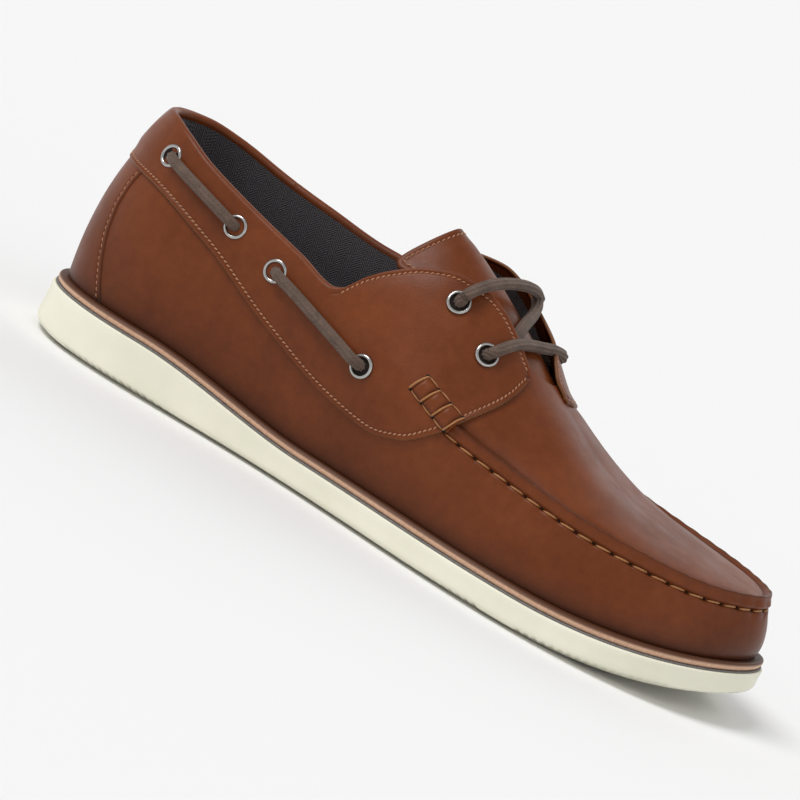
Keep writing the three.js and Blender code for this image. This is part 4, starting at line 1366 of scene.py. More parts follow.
# ---- vamp, apron and lining
@dataclass
class MocSeam:
    """Sizes of the raised moccasin seam."""

    lip_height: float = 0.95
    stitch_drop: float = 4.1
    groove_depth: float = 0.55
    pitch: float = 7.3
    thread: float = 0.42
    first_hole: float = 20.2
    last_hole: float = 30.0
    fade: dict = field(default_factory=lambda: {Side.LATERAL: (15.0, 22.0), Side.MEDIAL: (24.0, 32.0)})

    def strength(self, u: Array) -> Array:
        """1 along the seam, fading out under the wings.

        Args:
            u: ribs.

        Returns:
            Shares from 0 to 1.
        """
        x = LAST.rib(u)["middle"][..., 0]
        lateral = smoothstep(*self.fade[Side.LATERAL], x)
        medial = smoothstep(*self.fade[Side.MEDIAL], x)
        return np.where(LAST.side_of(u), lateral, medial)

    def travel(self, u: Array) -> Array:
        """Distance of each rib along the crest, from the back of the heel."""
        fine, _, marks = LAST.crest()
        return np.interp(np.mod(u, 1), fine, marks)

    def holes(self) -> Array:
        """u of the needle holes along the seam, from the lateral wing round the toe to the medial one.

        Returns:
            One u for each hole.
        """
        fine, points, marks = LAST.crest()
        x = points[:, 0]
        lateral, medial = fine < LAST.toe, fine >= LAST.toe
        start = float(np.interp(self.first_hole, x[lateral], marks[lateral]))
        stop = float(np.interp(-self.last_hole, -x[medial], marks[medial]))
        return np.interp(np.arange(start, stop, self.pitch), marks, fine)

    def relief(self, u: Array, s: Array) -> Array:
        """Height of the vamp's leather over the last near the crest.

        Args:
            u: ribs, (C, 1).
            s: distances from the crest, negative down the wall, (C, R).

        Returns:
            Offsets along the normal, (C, R).
        """
        strength = self.strength(u)
        marks = self.travel(self.holes())
        here = self.travel(u)
        near = here - marks[np.clip(np.searchsorted(marks, here), 1, len(marks) - 1)]
        before = here - marks[np.clip(np.searchsorted(marks, here) - 1, 0, len(marks) - 1)]
        gap = np.where(np.abs(near) < np.abs(before), near, before)
        pinch = np.exp(-((gap / 1.25) ** 2))
        puff = 0.5 - 0.5 * np.cos(2 * np.pi * gap / self.pitch)
        drop = self.stitch_drop
        roll = self.lip_height * smoothstep(-drop + 0.2, -drop + 1.5, s) * smoothstep(2.2, 0.3, s)
        roll = roll * (0.86 + 0.18 * puff)
        crest = 0.7 * bump(s, 0.2, 0.6)
        tuck = -0.9 * smoothstep(0.8, 2.4, s)
        groove = -self.groove_depth * bump(s, -drop, 0.55)
        pit = -0.6 * pinch * bump(s, -drop, 0.75)
        pucker = -0.28 * pinch * bump(s, -drop - 1.8, 1.7) - 0.16 * pinch * bump(s, -drop + 2.0, 1.4)
        below = 0.22 * puff * bump(s, -drop - 1.3, 0.9)
        return strength * (roll + crest + tuck + groove + pit + pucker + below)


@dataclass
class Upper:
    """Vamp wall, apron, lining and the stitches of the moccasin seam."""

    bench: Bench
    finishes: Finishes
    seam: MocSeam = field(default_factory=MocSeam)
    columns: int = 760
    lining_drop: float = 2.4
    lining_gap: float = 2.0
    apron_back: float = -12.0
    apron_crown: float = 12.0
    # Soft troughs and swells of the side walls: x, z, length, height, depth
    swells: tuple = ((28, 33, 20, 7, -0.45), (2, 27, 26, 6, 0.35), (62, 30, 22, 7, 0.3),
                     (-60, 34, 30, 9, -0.4), (-104, 44, 20, 14, 0.4), (96, 31, 20, 6, -0.3))

    def build(self) -> None:
        """Makes the pieces of the upper."""
        self.vamp()
        self.apron()
        self.lining()
        self.seam_stitches()

    def crest_stations(self) -> Array:
        """u of the columns, evenly spaced along the crest."""
        fine, _, marks = LAST.crest()
        return np.interp(np.linspace(0, marks[-1], self.columns, endpoint=False), marks, fine)

    @staticmethod
    def shade(height: Array) -> Array:
        """Darkening of the leather just above the welt: painted shade in the corner over the welt, and a
        broader darker band up the wall.
        """
        over = np.clip(height, 0, None)
        return 0.55 * np.exp(-over / 3.0) + 0.34 * np.exp(-over / 15)

    def vamp(self) -> None:
        """Side walls from the welt over the crest of the moccasin seam."""
        us = self.crest_stations()
        ones = np.ones_like(us)
        length = LAST.rib_length(us, ones * 0, ones)
        close = np.arange(0, 7.6, 0.3)
        far = np.linspace(0, 1, 19)[1:]
        down = np.concatenate([np.tile(close, (len(us), 1)), 7.5 + (length[:, None] - 7.5) * far], axis=1)
        t_wall = LAST.at_arcs(us, ones, ones * 0, down)[:, ::-1]
        up = np.tile(np.arange(0.3, 2.8, 0.3), (len(us), 1))
        t_over = LAST.at_arcs(us, ones, ones * 1.4, up)
        t = np.concatenate([t_wall, t_over], axis=1)
        s = np.concatenate([-down[:, ::-1], up], axis=1)
        u = us[:, None]
        points = LAST.point(u, t)
        wall = LAST.normal(us, ones * 0.96)[:, None]
        over = LAST.normal(us, ones * 1.04)[:, None]
        turn = smoothstep(-2.6, 1.6, s)[..., None]
        corner = unit(wall * (1 - turn) + over * turn)
        normal = LAST.normal(u, np.where(s < -2.6, t, 0.96))
        strength = self.seam.strength(us)[:, None]
        normal = np.where((s > -2.7)[..., None], corner, normal)
        points = points + normal * self.seam.relief(u, s)[..., None]
        points = points + normal * self.dents(points)[..., None]
        lift = points[..., 2] - SOLE.feather(points[..., 0])
        # painted shade in the seam's stitch groove and in the tuck under the apron, and a dark line along the
        # crest
        groove, fold = 0.35 * bump(s, -self.seam.stitch_drop, 0.7), 0.75 * bump(s, 0.3, 0.32)
        lines = strength * (groove + fold + 0.5 * smoothstep(0.9, 1.8, s))
        patch = Patch()
        patch.grid(points, wrap_rows=True, shade=np.clip(self.shade(lift) + lines, 0, 0.85))
        patch.make(self.bench, "vamp", self.finishes.leather, Slot.LEATHER, ("upper",))

    def dents(self, points: Array) -> Array:
        """Offsets of the side walls' soft troughs and swells.

        Args:
            points: grid of points, (C, R, 3).

        Returns:
            Offsets along the normal, (C, R).
        """
        total = np.zeros(points.shape[:2])
        for x, z, long, high, depth in self.swells:
            near = ((points[..., 0] - x) / long) ** 2 + ((points[..., 2] - z) / high) ** 2
            total += depth * np.exp(-near)
        return total

    def apron(self) -> None:
        """Leather over the toes and instep, inside the moccasin seam."""
        patch = Patch()
        toe, first = LAST.toe, LAST.front[Side.LATERAL]
        lateral = toe - (toe - first) * (1 - np.linspace(0, 1, 240))
        tx = LAST.spline.at(lateral)[:, RIB_COLUMNS.index("tx")]
        fine = np.linspace(toe, LAST.front[Side.MEDIAL] + 0.02, 3000)
        fine_tx = LAST.spline.at(fine)[:, RIB_COLUMNS.index("tx")]
        medial = np.interp(-tx, -fine_tx, fine)
        halves = [self.half_apron(us, np.full_like(us, 2.0)) for us in (lateral, medial)]
        rungs = np.concatenate([halves[0][0], halves[1][0][:, -2::-1]], axis=1)
        shades = np.concatenate([halves[0][1], halves[1][1][:, -2::-1]], axis=1)
        y = np.abs(rungs[..., 1])
        end = np.tan(np.radians(LAST.rib(lateral)["end"]))[:, None]
        width = self.apron_crown
        fill = end * (width + y - np.sqrt(y**2 + width**2)) * smoothstep(34, 14, y)
        rungs[..., 2] += fill * smoothstep(40, 50, rungs[..., 0])
        patch.grid(rungs, shade=shades)
        # rear edge of the apron at the throat, turned down, with painted shade growing downwards
        edge = rungs[0]
        skirt = np.stack([edge, edge + [-0.35, 0, -0.25], edge + [-0.45, 0, -0.7], edge + [-0.2, 0, -1.6]])
        patch.grid(skirt, flip=True, shade=np.tile([[0.1], [0.4], [0.7], [0.9]], (1, len(edge))))
        for side in Side:
            start = LAST.station(side, self.apron_back, TOP_HEIGHT)
            stop = LAST.front[side]
            us = np.linspace(start, stop, 60)
            top = LAST.reach(us, TOP_HEIGHT)
            points, shades = self.half_apron(us, top)
            patch.grid(points, flip=side is Side.MEDIAL, shade=shades)
        patch.make(self.bench, "apron", self.finishes.leather, Slot.LEATHER, ("upper",))

    def half_apron(self, us: Array, top: Array) -> tuple:
        """Grid of one half of the apron, from the crest to t = top, and its shading.

        Args:
            us: ribs, (C,).
            top: t where each rib ends, (C,).

        Returns:
            Points, (C, R, 3), and shading, (C, R).
        """
        ones = np.ones_like(us)
        length = LAST.rib_length(us, ones, top)
        near = np.array([0.7, 0.95, 1.2, 1.5, 1.9, 2.4, 3.0, 3.8, 4.8])
        near = np.minimum(near, length[:, None] * 0.25 * near / near[-1])
        far = near[:, -1:] + (length[:, None] - near[:, -1:]) * np.linspace(0, 1, 25)[1:]
        arcs = np.concatenate([near, far], axis=1)
        t = LAST.at_arcs(us, ones, top, arcs)
        t[:, -1] = top
        rim = self.seam.strength(us)[:, None]
        offset = rim * (-0.25 - 1.5 * np.exp(-((arcs - 0.7) / 1.3))) + 0.2 * smoothstep(3, 12, arcs)
        points = LAST.point(us[:, None], t)
        points = points + LAST.normal(us[:, None], np.maximum(t, 1.03)) * offset[..., None]
        # painted shade beside the crest, where the apron sinks under the seam's lip
        return points, 0.95 * rim * np.exp(-(arcs - 0.7) / 1.1)

    def lining(self) -> None:
        """Cloth inside the upper, from the footbed to just under the top."""
        us = np.linspace(0, 1, 300, endpoint=False)
        closed = LAST.rib(us)["closed"]
        top = np.where(closed, 1.985, np.minimum(LAST.reach(us, TOP_HEIGHT), 1.99))
        r = LAST.rib(us)
        floor = LAST.reach(us, SOLE.feather(r["fx"]) + 2.0)
        length = LAST.rib_length(us, top, floor)
        start = np.where(closed, 0.0, self.lining_drop)
        arcs = start[:, None] + (length - start)[:, None] * np.linspace(0, 1, 26)
        t = LAST.at_arcs(us, top, floor, arcs)
        depth = self.lining_gap + 0.45 * bump(arcs, 12.0, 12.0) * (~closed)[:, None]
        points = LAST.point(us[:, None], t) - LAST.normal(us[:, None], t) * depth[..., None]
        patch = Patch()
        patch.grid(points, wrap_rows=True)
        patch.make(self.bench, "lining", self.finishes.lining, Slot.LINING, ("upper",))

    def seam_stitches(self) -> None:
        """Long stitches of the moccasin seam, and dark blobs of painted shade in the needle holes between
        them.
        """
        seam = self.seam
        holes = seam.holes()
        middles = (holes[1:] + holes[:-1]) / 2
        threads, hole_shade_blobs = Patch(), Patch()
        reach = seam.pitch * 0.76
        for us, patch, length, radius, lift in ((middles, threads, reach, seam.thread, -0.18),
                                                (holes, hole_shade_blobs, 0.9, 0.32, -0.62)):
            drop = np.full((len(us), 1), seam.stitch_drop)
            t = LAST.at_arcs(us, np.ones_like(us), np.zeros_like(us), drop)[:, 0]
            normal = LAST.normal(us, t)
            centre = LAST.point(us, t) + normal * lift
            run = LAST.point(us + 0.002, t) - LAST.point(us - 0.002, t)
            patch.stitches(centre, run, normal, length, radius, 1.5, 0.05)
        threads.make(self.bench, "moccasin_stitches", self.finishes.thread, Slot.THREAD)
        hole_shade_blobs.make(self.bench, "moccasin_hole_shade", self.finishes.hole, Slot.THREAD)


TOP_HEIGHT = LAST.sided(TOPLINE)
LOWER_HEIGHT = LAST.sided(SADDLE_LOWER)
UPPER_HEIGHT = LAST.sided(SADDLE_UPPER)


# ---- saddles, counter and their seams
@dataclass
class Saddle:
    """Collar band and wing of one side, laid over the upper, with a rolled or cut top edge."""

    bench: Bench
    finishes: Finishes
    side: Side
    thickness: float = 1.55
    edge: float = 0.75
    stitch_inset: float = 2.1
    sewn: LockStitch = LockStitch(1.95, 1.5, 0.31, 1.95, 0.3, 0.1085)
    collar_radius: float = 2.0
    cut_radius: float = 0.72
    puff: float = 0.75
    spacing: float = 0.75
    near: tuple = (0, 0.12, 0.3, 0.55, 0.85, 1.2, 1.5, 1.75, 2.0, 2.25, 2.5, 2.8, 3.2, 3.9, 5.0)

    def stations(self) -> Array:
        """u of the ribs from the medial seam to the front end, closer at the front.

        Returns:
            One u for each rib.
        """
        seam = LAST.station(Side.MEDIAL, MEDIAL_SEAM, TOP_HEIGHT)
        end = LAST.station(self.side, SADDLE_FRONT[self.side], SADDLE_TIP)
        if self.side is Side.LATERAL:
            start = seam - 0.0012 - 1
            fine = np.linspace(start, end, 3000)
        else:
            fine = np.linspace(seam - 0.0008, end, 3000)
        middle = LAST.reach(fine, lambda u, x: (LOWER_HEIGHT(u, x) + UPPER_HEIGHT(u, x)) / 2)
        path = LAST.point(fine, middle)
        marks = arc_lengths(path)
        count = int(marks[-1] / self.spacing)
        even = np.linspace(0, marks[-1], count)
        close = np.arange(marks[-1] - 14, marks[-1], 0.3)
        return np.interp(np.unique(np.concatenate([even, close])), marks, fine)

    def collar_share(self, x: Array) -> Array:
        """1 where the top edge is the rolled collar, 0 along the wing."""
        notch = (-44, -37) if self.side is Side.LATERAL else (-44, -34)
        return 1 - smoothstep(*notch, x)

    def build(self) -> None:
        """Makes the leather sheet and its stitches."""
        us = self.stations()
        low = LAST.reach(us, LOWER_HEIGHT)
        high = np.maximum(LAST.reach(us, UPPER_HEIGHT), low + 0.02)
        collar = self.collar_share(LAST.point(us, high)[:, 0])
        radius = self.cut_radius + (self.collar_radius - self.cut_radius) * collar
        drop = radius * np.where(collar > 0.01, 1, 0.6)
        high = LAST.at_arcs(us, high, low, drop[:, None])[:, 0]
        length = LAST.rib_length(us, low, high)
        near = np.array(self.near)
        shrink = np.minimum(1, 0.42 * length / near[-1])[:, None]
        head, tail = near * shrink, length[:, None] - near[::-1] * shrink
        share = np.linspace(0, 1, 26)[1:-1]
        arcs = np.concatenate([head, head[:, -1:] + (tail[:, :1] - head[:, -1:]) * share, tail], axis=1)
        t = LAST.at_arcs(us, low, high, arcs)
        base = LAST.point(us[:, None], t)
        normal = LAST.normal(us[:, None], t)
        cut = np.concatenate([base[:, 0], base[-1]])
        butt = np.exp(-((self.distance(base, base[0]) / 0.55) ** 2))
        top_gap = length[:, None] - arcs
        seam_gap = self.distance(base, cut)
        wing = 1 - collar[:, None]
        front = bump(base[..., 0], 29, 9) * (self.side is Side.MEDIAL)
        step = (self.thickness + 1.1 * front) * quarter_round(seam_gap / self.edge) - 0.12 - 0.35 * butt
        trough = 0.30 * bump(seam_gap, self.stitch_inset, 0.55)
        trough = trough + 0.30 * wing * bump(top_gap, self.stitch_inset - 0.4, 0.55)
        puff = self.puff * smoothstep(3.2, 9.0, seam_gap) * (0.35 + 0.65 * collar[:, None])
        puff = puff * (1 - 0.8 * wing * smoothstep(8, 2, top_gap))
        height = step - trough + puff + self.pinches(base)
        points = base + normal * height[..., None]
        # raw leather on the cut edge with a dark line of painted shade at its foot, a darker line at the butt
        # joint, and painted shade in the stitch troughs
        raw_edge_and_foot_shade = 0.5 * smoothstep(0.16, 0.05, seam_gap) - 0.55 * smoothstep(0.75, 0.35, seam_gap)
        shade = 0.25 * butt + raw_edge_and_foot_shade + 0.22 * bump(seam_gap, self.stitch_inset, 0.8)
        shade = shade + wing * (0.22 * bump(top_gap, self.stitch_inset - 0.4, 0.8))
        arc_points, arc_shade = self.top_edge(us, high, low, height[:, -1], radius, collar, seam_gap[:, -1])
        patch = Patch()
        patch.grid(np.concatenate([points, arc_points], axis=1), flip=self.side is Side.MEDIAL,
                   shade=np.concatenate([shade, arc_shade], axis=1))
        node = f"saddle_{self.side.value}"
        patch.make(self.bench, f"{node}_leather", self.finishes.leather, Slot.LEATHER, (node,))
        self.stitch(base, normal, height, seam_gap, wing)

    @staticmethod
    def distance(base: Array, border: Array) -> Array:
        """Distance of each grid point to a line of points.

        Args:
            base: grid of points, (C, R, 3).
            border: points of the line, (N, 3).

        Returns:
            Distances, (C, R).
        """
        tree = KDTree(len(border))
        for i, p in enumerate(border):
            tree.insert(p, i)
        tree.balance()
        flat = [tree.find(p)[2] for p in base.reshape(-1, 3)]
        return np.array(flat).reshape(base.shape[:2])

    def pinches(self, base: Array) -> Array:
        """Leather pressed down round each eyelet.

        Args:
            base: grid of points, (C, R, 3).

        Returns:
            Offsets along the normal, (C, R).
        """
        total = np.zeros(base.shape[:2])
        for x, z in eyelet_spots(self.side):
            gap = np.hypot(base[..., 0] - x, base[..., 2] - z)
            total += -0.4 * np.exp(-((gap / 6.0) ** 2))
        return total

    def top_edge(self, us: Array, high: Array, low: Array, outer: Array, radius: Array, collar: Array,
                 end_gap: Array) -> tuple:
        """Rounded top: over the rolled collar to the lining, or down round the cut edge of the wing.

        Args:
            us: ribs.
            high: t of the last row of the sheet.
            low: t of its first row.
            outer: height of the last row over the last.
            radius: radius of the edge.
            collar: 1 on the collar, 0 on the wing.
            end_gap: distance to the front end.

        Returns:
            Points (C, K, 3) and shading (C, K).
        """
        path = LAST.point(us, high)
        normal = LAST.normal(us, high)
        back = LAST.point(us, LAST.at_arcs(us, high, low, np.full((len(us), 1), 0.8))[:, 0])
        climb = unit(path - back)
        r = radius * (0.3 + 0.7 * quarter_round(end_gap / self.edge))
        rows, shades = [], []
        for angle in np.linspace(0, 180, 13)[1:]:
            a = math.radians(angle)
            centre = (outer - r)[:, None] * normal
            rows.append(path + centre + r[:, None] * (math.cos(a) * normal + math.sin(a) * climb))
            # wing: raw leather on the face of the cut edge, then painted shade where it turns under; collar:
            # painted shade as the roll turns inwards
            raw = -0.5 * smoothstep(25, 60, angle) + 0.9 * smoothstep(120, 160, angle)
            shades.append((1 - collar) * raw + collar * smoothstep(120, 180, angle) * 0.2)
        inner = (outer - 2 * r)[:, None] * normal
        for drop in (1.2, 2.6, 4.0):
            fall = drop * (0.25 + 0.75 * collar)[:, None]
            sink = (0.15 * (drop > 3) * collar)[:, None]
            rows.append(path + inner - fall * climb - sink * normal)
            # painted shade on the rows under the wing's edge and inside the collar roll
            shades.append((1 - collar) * 0.9 + collar * 0.25)
        return np.stack(rows, axis=1), np.stack(shades, axis=1)

    def stitch(self, base: Array, normal: Array, height: Array, seam_gap: Array, wing: Array) -> None:
        """Lock stitches along the lower edge and front, and along the wing's top edge.

        Args:
            base: points of the last under the sheet.
            normal: normals there.
            height: height of the sheet.
            seam_gap: distance to the sewn edges.
            wing: 1 along the wing.
        """
        patch = Patch()
        surface = base + normal * height[..., None]
        lower = self.contour(surface, normal, seam_gap, False)
        top = np.linalg.norm(base - base[:, -1:], axis=-1)
        keep = (wing[:, 0] > 0.6) & (seam_gap[:, -1] > 2 * self.stitch_inset)
        upper = self.contour(surface[keep], normal[keep], np.abs(top[keep]) + 0.4, True)
        for line in (lower, upper):
            patch.stitch_row(line, self.sewn)
        patch.make(self.bench, f"saddle_{self.side.value}_stitches", self.finishes.fine_thread, Slot.THREAD)

    def contour(self, surface: Array, normal: Array, gap: Array, from_top: bool) -> Array:
        """Line on the sheet where gap equals the stitch inset: one (x, y, z, nx, ny, nz) row per rib.

        Args:
            surface: points of the sheet, (C, R, 3).
            normal: normals, (C, R, 3).
            gap: distance to the sewn edge, (C, R).
            from_top: search from the top edge down.

        Returns:
            One row of a place and its normal for each rib that the line crosses.
        """
        rows = []
        turn = -1 if from_top else 1
        for i in range(len(surface)):
            g, p, n = gap[i][::turn], surface[i][::turn], normal[i][::turn]
            over = np.nonzero(g >= self.stitch_inset)[0]
            if len(over) == 0 or over[0] == 0:
                continue
            k = int(over[0])
            share = (self.stitch_inset - g[k - 1]) / max(g[k] - g[k - 1], 1e-6)
            place = p[k - 1] + (p[k] - p[k - 1]) * share
            rows.append(np.concatenate([place, n[k - 1] + (n[k] - n[k - 1]) * share]))
        return np.array(rows)


@dataclass
class Counter:
    """Patch low round the back of the heel."""

    bench: Bench
    finishes: Finishes
    # Front edge: height, x
    front: tuple = (
        (21, -121), (28, -124.6), (36, -128.4), (45, -131.5), (55, -133.2), (64, -132.6), (72, -130.5),
    )
    thickness: float = 0.75
    edge: float = 0.7
    tuck: float = 1.2
    stitch_inset: float = 2.0
    sewn: LockStitch = LockStitch(2.3, 1.6, 0.2, 2.0, 1.5, 0.1, 1.6, 0.2)
    columns: int = 150
    end_columns: int = 30

    def build(self) -> None:
        """Makes the patch and the stitches along its front edges."""
        v = np.linspace(0, 1, 40)
        heights, xs = np.array(self.front).T
        ends = {}
        for side, turn in ((Side.LATERAL, 0), (Side.MEDIAL, 1)):
            found = [LAST.station(side, x, float(z)) - turn for x, z in zip(xs, heights)]
            ends[side] = np.interp(heights[0] + (heights[-1] - heights[0]) * v, heights, found)
        share = np.linspace(0, 1, self.columns)
        share = 0.5 - 0.5 * np.cos(np.pi * share) * 0.55 - 0.5 * (1 - 2 * share) * 0.45
        u = ends[Side.MEDIAL] + (ends[Side.LATERAL] - ends[Side.MEDIAL]) * share[:, None]
        high = LAST.reach(u.ravel(), lambda a, x: LOWER_HEIGHT(a, x) + self.tuck)
        t = (high * np.tile(v, self.columns)).reshape(u.shape)
        base, normal = LAST.point(u, t), LAST.normal(u, t)
        border = np.concatenate([base[0], base[-1]])
        gap = Saddle.distance(base, border)
        trough = 0.22 * bump(gap, self.stitch_inset, 0.5)
        height = self.thickness * quarter_round(gap / self.edge) - 0.1 - trough
        lift = base[..., 2] - SOLE.feather(base[..., 0])
        # dark line along the counter's edges, and painted shade in the stitch trough
        lines = 0.6 * np.exp(-gap / 0.5) + 0.2 * bump(gap, self.stitch_inset, 0.8)
        shade = np.clip(Upper.shade(lift) + lines, 0, 1)
        patch = Patch()
        surface = base + normal * height[..., None]
        patch.grid(surface, shade=shade)
        patch.make(self.bench, "heel_counter_leather", self.finishes.leather, Slot.LEATHER, ("heel_counter",))
        threads = Patch()
        last = self.columns - 1
        for index in (range(self.end_columns), range(last, last - self.end_columns, -1)):
            line = []
            for j in range(surface.shape[1]):
                k = index[int(np.argmin(np.abs(gap[list(index), j] - self.stitch_inset)))]
                line.append(np.concatenate([surface[k, j], normal[k, j]]))
            threads.stitch_row(np.array(line), self.sewn)
        threads.make(self.bench, "heel_counter_stitches", self.finishes.fine_thread, Slot.THREAD)


# ---- tongue
@dataclass
class Tongue:
    """Curved leather tongue with a stitched edge and a bound end."""

    bench: Bench
    finishes: Finishes
    thickness: float = 2.2
    # x, z, half width, fall from the middle to the edges
    rows: tuple = (
        (56, 61.6, 17, 3), (47, 67.4, 19, 3.8), (38, 73.4, 21, 5.2), (27, 81.2, 23, 7.8),
        (14, 89.6, 24, 11.5), (2, 96.7, 23.5, 14), (-7.6, 101.8, 22.4, 17), (-14.4, 105.1, 21.4, 21),
        (-18.9, 107.2, 20.6, 24), (-20.7, 108.1, 20, 25),
    )
    fall: tuple = (0.56, 0.0, 0.83)
    grid: tuple = (90, 64)
    hidden_rows: int = 25
    stitch_inset: float = 2.6
    sewn: LockStitch = LockStitch(2.2, 1.55, 0.29, 2.0, 0.6, 0.2)

    def surface(self, share: Array, s: Array) -> Array:
        """Points of the upper face, for places along the rows and across, -1 to 1.

        Args:
            share: places along the rows, 0 to 1.
            s: places across, -1 to 1.

        Returns:
            Points.
        """
        line = rounded(np.array(self.rows), 400)
        index = share * (len(line) - 1)
        low = np.clip(index.astype(int), 0, len(line) - 2)
        part = (index - low)[..., None]
        row = line[low] * (1 - part) + line[low + 1] * part
        x, z, w, drop = np.moveaxis(row, -1, 0)
        point = np.stack([x, s * w, z], axis=-1)
        return point - np.array(self.fall) * (drop * (1.25 * s**2 - 0.25 * s**4))[..., None]

    def build(self) -> None:
        """Makes the tongue and its stitches."""
        rows, columns = self.grid
        share = 1 - (1 - np.linspace(0, 1, rows)) ** 1.25
        s = np.sin(np.linspace(-np.pi / 2, np.pi / 2, columns) * 0.999)
        a, b = np.meshgrid(share, s, indexing="ij")
        end = 1 - 0.035 * np.abs(b) ** 4 - 0.07 * np.abs(b) ** 14
        base = self.surface(np.minimum(a * end, 1), b)
        normal = unit(np.cross(np.gradient(base, axis=1), np.gradient(base, axis=0)))
        normal = normal * np.sign(normal[..., 2:3] + 1e-9)
        border = np.concatenate([base[:, 0], base[-1], base[:, -1]])
        gap = Saddle.distance(base, border)
        half = self.thickness / 2
        round_off = quarter_round(gap / half)
        pad = 0.35 * smoothstep(4, 9, gap) - 0.22 * bump(gap, self.stitch_inset, 0.6)
        top = base + normal * (half * round_off - half + pad)[..., None]
        under = base + normal * (-half * round_off - half)[..., None]
        # darker at the very edge, and painted shade in the stitch trough
        shade = 0.35 * np.exp(-gap / 0.6) + 0.2 * bump(gap, self.stitch_inset, 0.9)
        patch = Patch()
        patch.grid(top, flip=True, shade=shade)
        # painted shade on the underside
        patch.grid(under, shade=np.full(gap.shape, 0.3))
        patch.make(self.bench, "tongue_leather", self.finishes.leather, Slot.LEATHER, ("tongue",))
        threads = Patch()
        threads.stitch_row(self.edge_line(top, normal, gap), self.sewn)
        threads.make(self.bench, "tongue_stitches", self.finishes.fine_thread, Slot.THREAD)

    def edge_line(self, top: Array, normal: Array, gap: Array) -> Array:
        """Stitch line: up one side, round the end and down the other side.

        Args:
            top: points of the upper face, (A, B, 3).
            normal: normals, (A, B, 3).
            gap: distance to the edge, (A, B).

        Returns:
            Rows of a place and its normal.
        """
        both = np.concatenate([top, normal], axis=-1)
        inside = gap >= self.stitch_inset
        middle = np.nonzero(inside[len(gap) // 2])[0]
        first, last = int(middle[0]), int(middle[-1])
        start = self.hidden_rows
        stop = int(np.nonzero(inside[:, first])[0][-1])
        left = [both[i, int(np.argmax(inside[i]))] for i in range(start, stop)]
        end = []
        for j in range(first, last + 1):
            i = int(np.nonzero(inside[:, j])[0][-1])
            share = (gap[i, j] - self.stitch_inset) / (gap[i, j] - gap[i + 1, j])
            end.append(both[i, j] + (both[i + 1, j] - both[i, j]) * share)
        stop = int(np.nonzero(inside[:, last])[0][-1])
        right = [both[i, int(np.nonzero(inside[i])[0][-1])] for i in range(stop - 1, start, -1)]
        return np.array(left + end + right)


# ---- eyelets, ladder and laces
SIDE_SPOTS = ((-121.5, 82.2), (-85.6, 72.4), (-64.2, 66.0), (-17.0, 53.4))
THROAT_SPOTS = {Side.LATERAL: ((-0.3, 87.6), (17.4, 76.4)), Side.MEDIAL: ((8.0, 89.6), (26.0, 77.8))}
LEATHER_FACE = 1.75


def eyelet_spots(side: Side) -> tuple:
    """Side-view places of the six eyelets of one side."""
    return (*SIDE_SPOTS, *THROAT_SPOTS[side])


def eyelet_seat(side: Side, number: int) -> tuple:
    """Centre on the saddle's surface and normal of an eyelet, counted from 0.

    Args:
        side: side of the shoe.
        number: number of the eyelet, from 0.

    Returns:
        Centre and unit normal.
    """
    x, z = eyelet_spots(side)[number]
    u, t = LAST.locate(side, x, z)
    normal = LAST.normal(u, t)[0]
    return LAST.point(u, t)[0] + normal * LEATHER_FACE, normal


@dataclass
class Eyelets:
    """Metal eyelets of one side."""

    bench: Bench
    finishes: Finishes
    side: Side
    # radius, height over the leather
    profile: tuple = ((4.5, -0.4), (4.58, 0.05), (4.5, 0.4), (4.28, 0.68), (3.95, 0.85), (3.6, 0.82),
                      (3.3, 0.6), (3.12, 0.25), (3.04, -0.2), (3.0, -0.9))
    hole: float = 3.1
    hole_height: float = 0.05

    def build(self) -> None:
        """Makes the rings and a dark disc of painted shade in the hole of each."""
        rings, holes = Patch(), Patch()
        angle = np.linspace(0, 2 * np.pi, 40, endpoint=False)
        count = len(eyelet_spots(self.side))
        for number in range(count):
            centre, normal = eyelet_seat(self.side, number)
            run = unit(np.cross(normal, [0, 0, 1.0]))
            up = np.cross(run, normal)
            circle = np.cos(angle)[:, None] * run + np.sin(angle)[:, None] * up
            grid = np.array([centre + r * circle + h * normal for r, h in self.profile])
            rings.grid(grid, wrap_columns=True)
            # painted shade: a near-black disc in the hole
            holes.fan(centre + self.hole * circle + self.hole_height * normal)
        nodes = tuple(f"eyelet_{self.side.value}_{k + 1}" for k in range(count))
        rings.make(self.bench, f"eyelets_{self.side.value}", self.finishes.nickel, Slot.NICKEL, nodes)
        holes.make(self.bench, f"eyelet_hole_shade_{self.side.value}", self.finishes.hole, Slot.NICKEL)


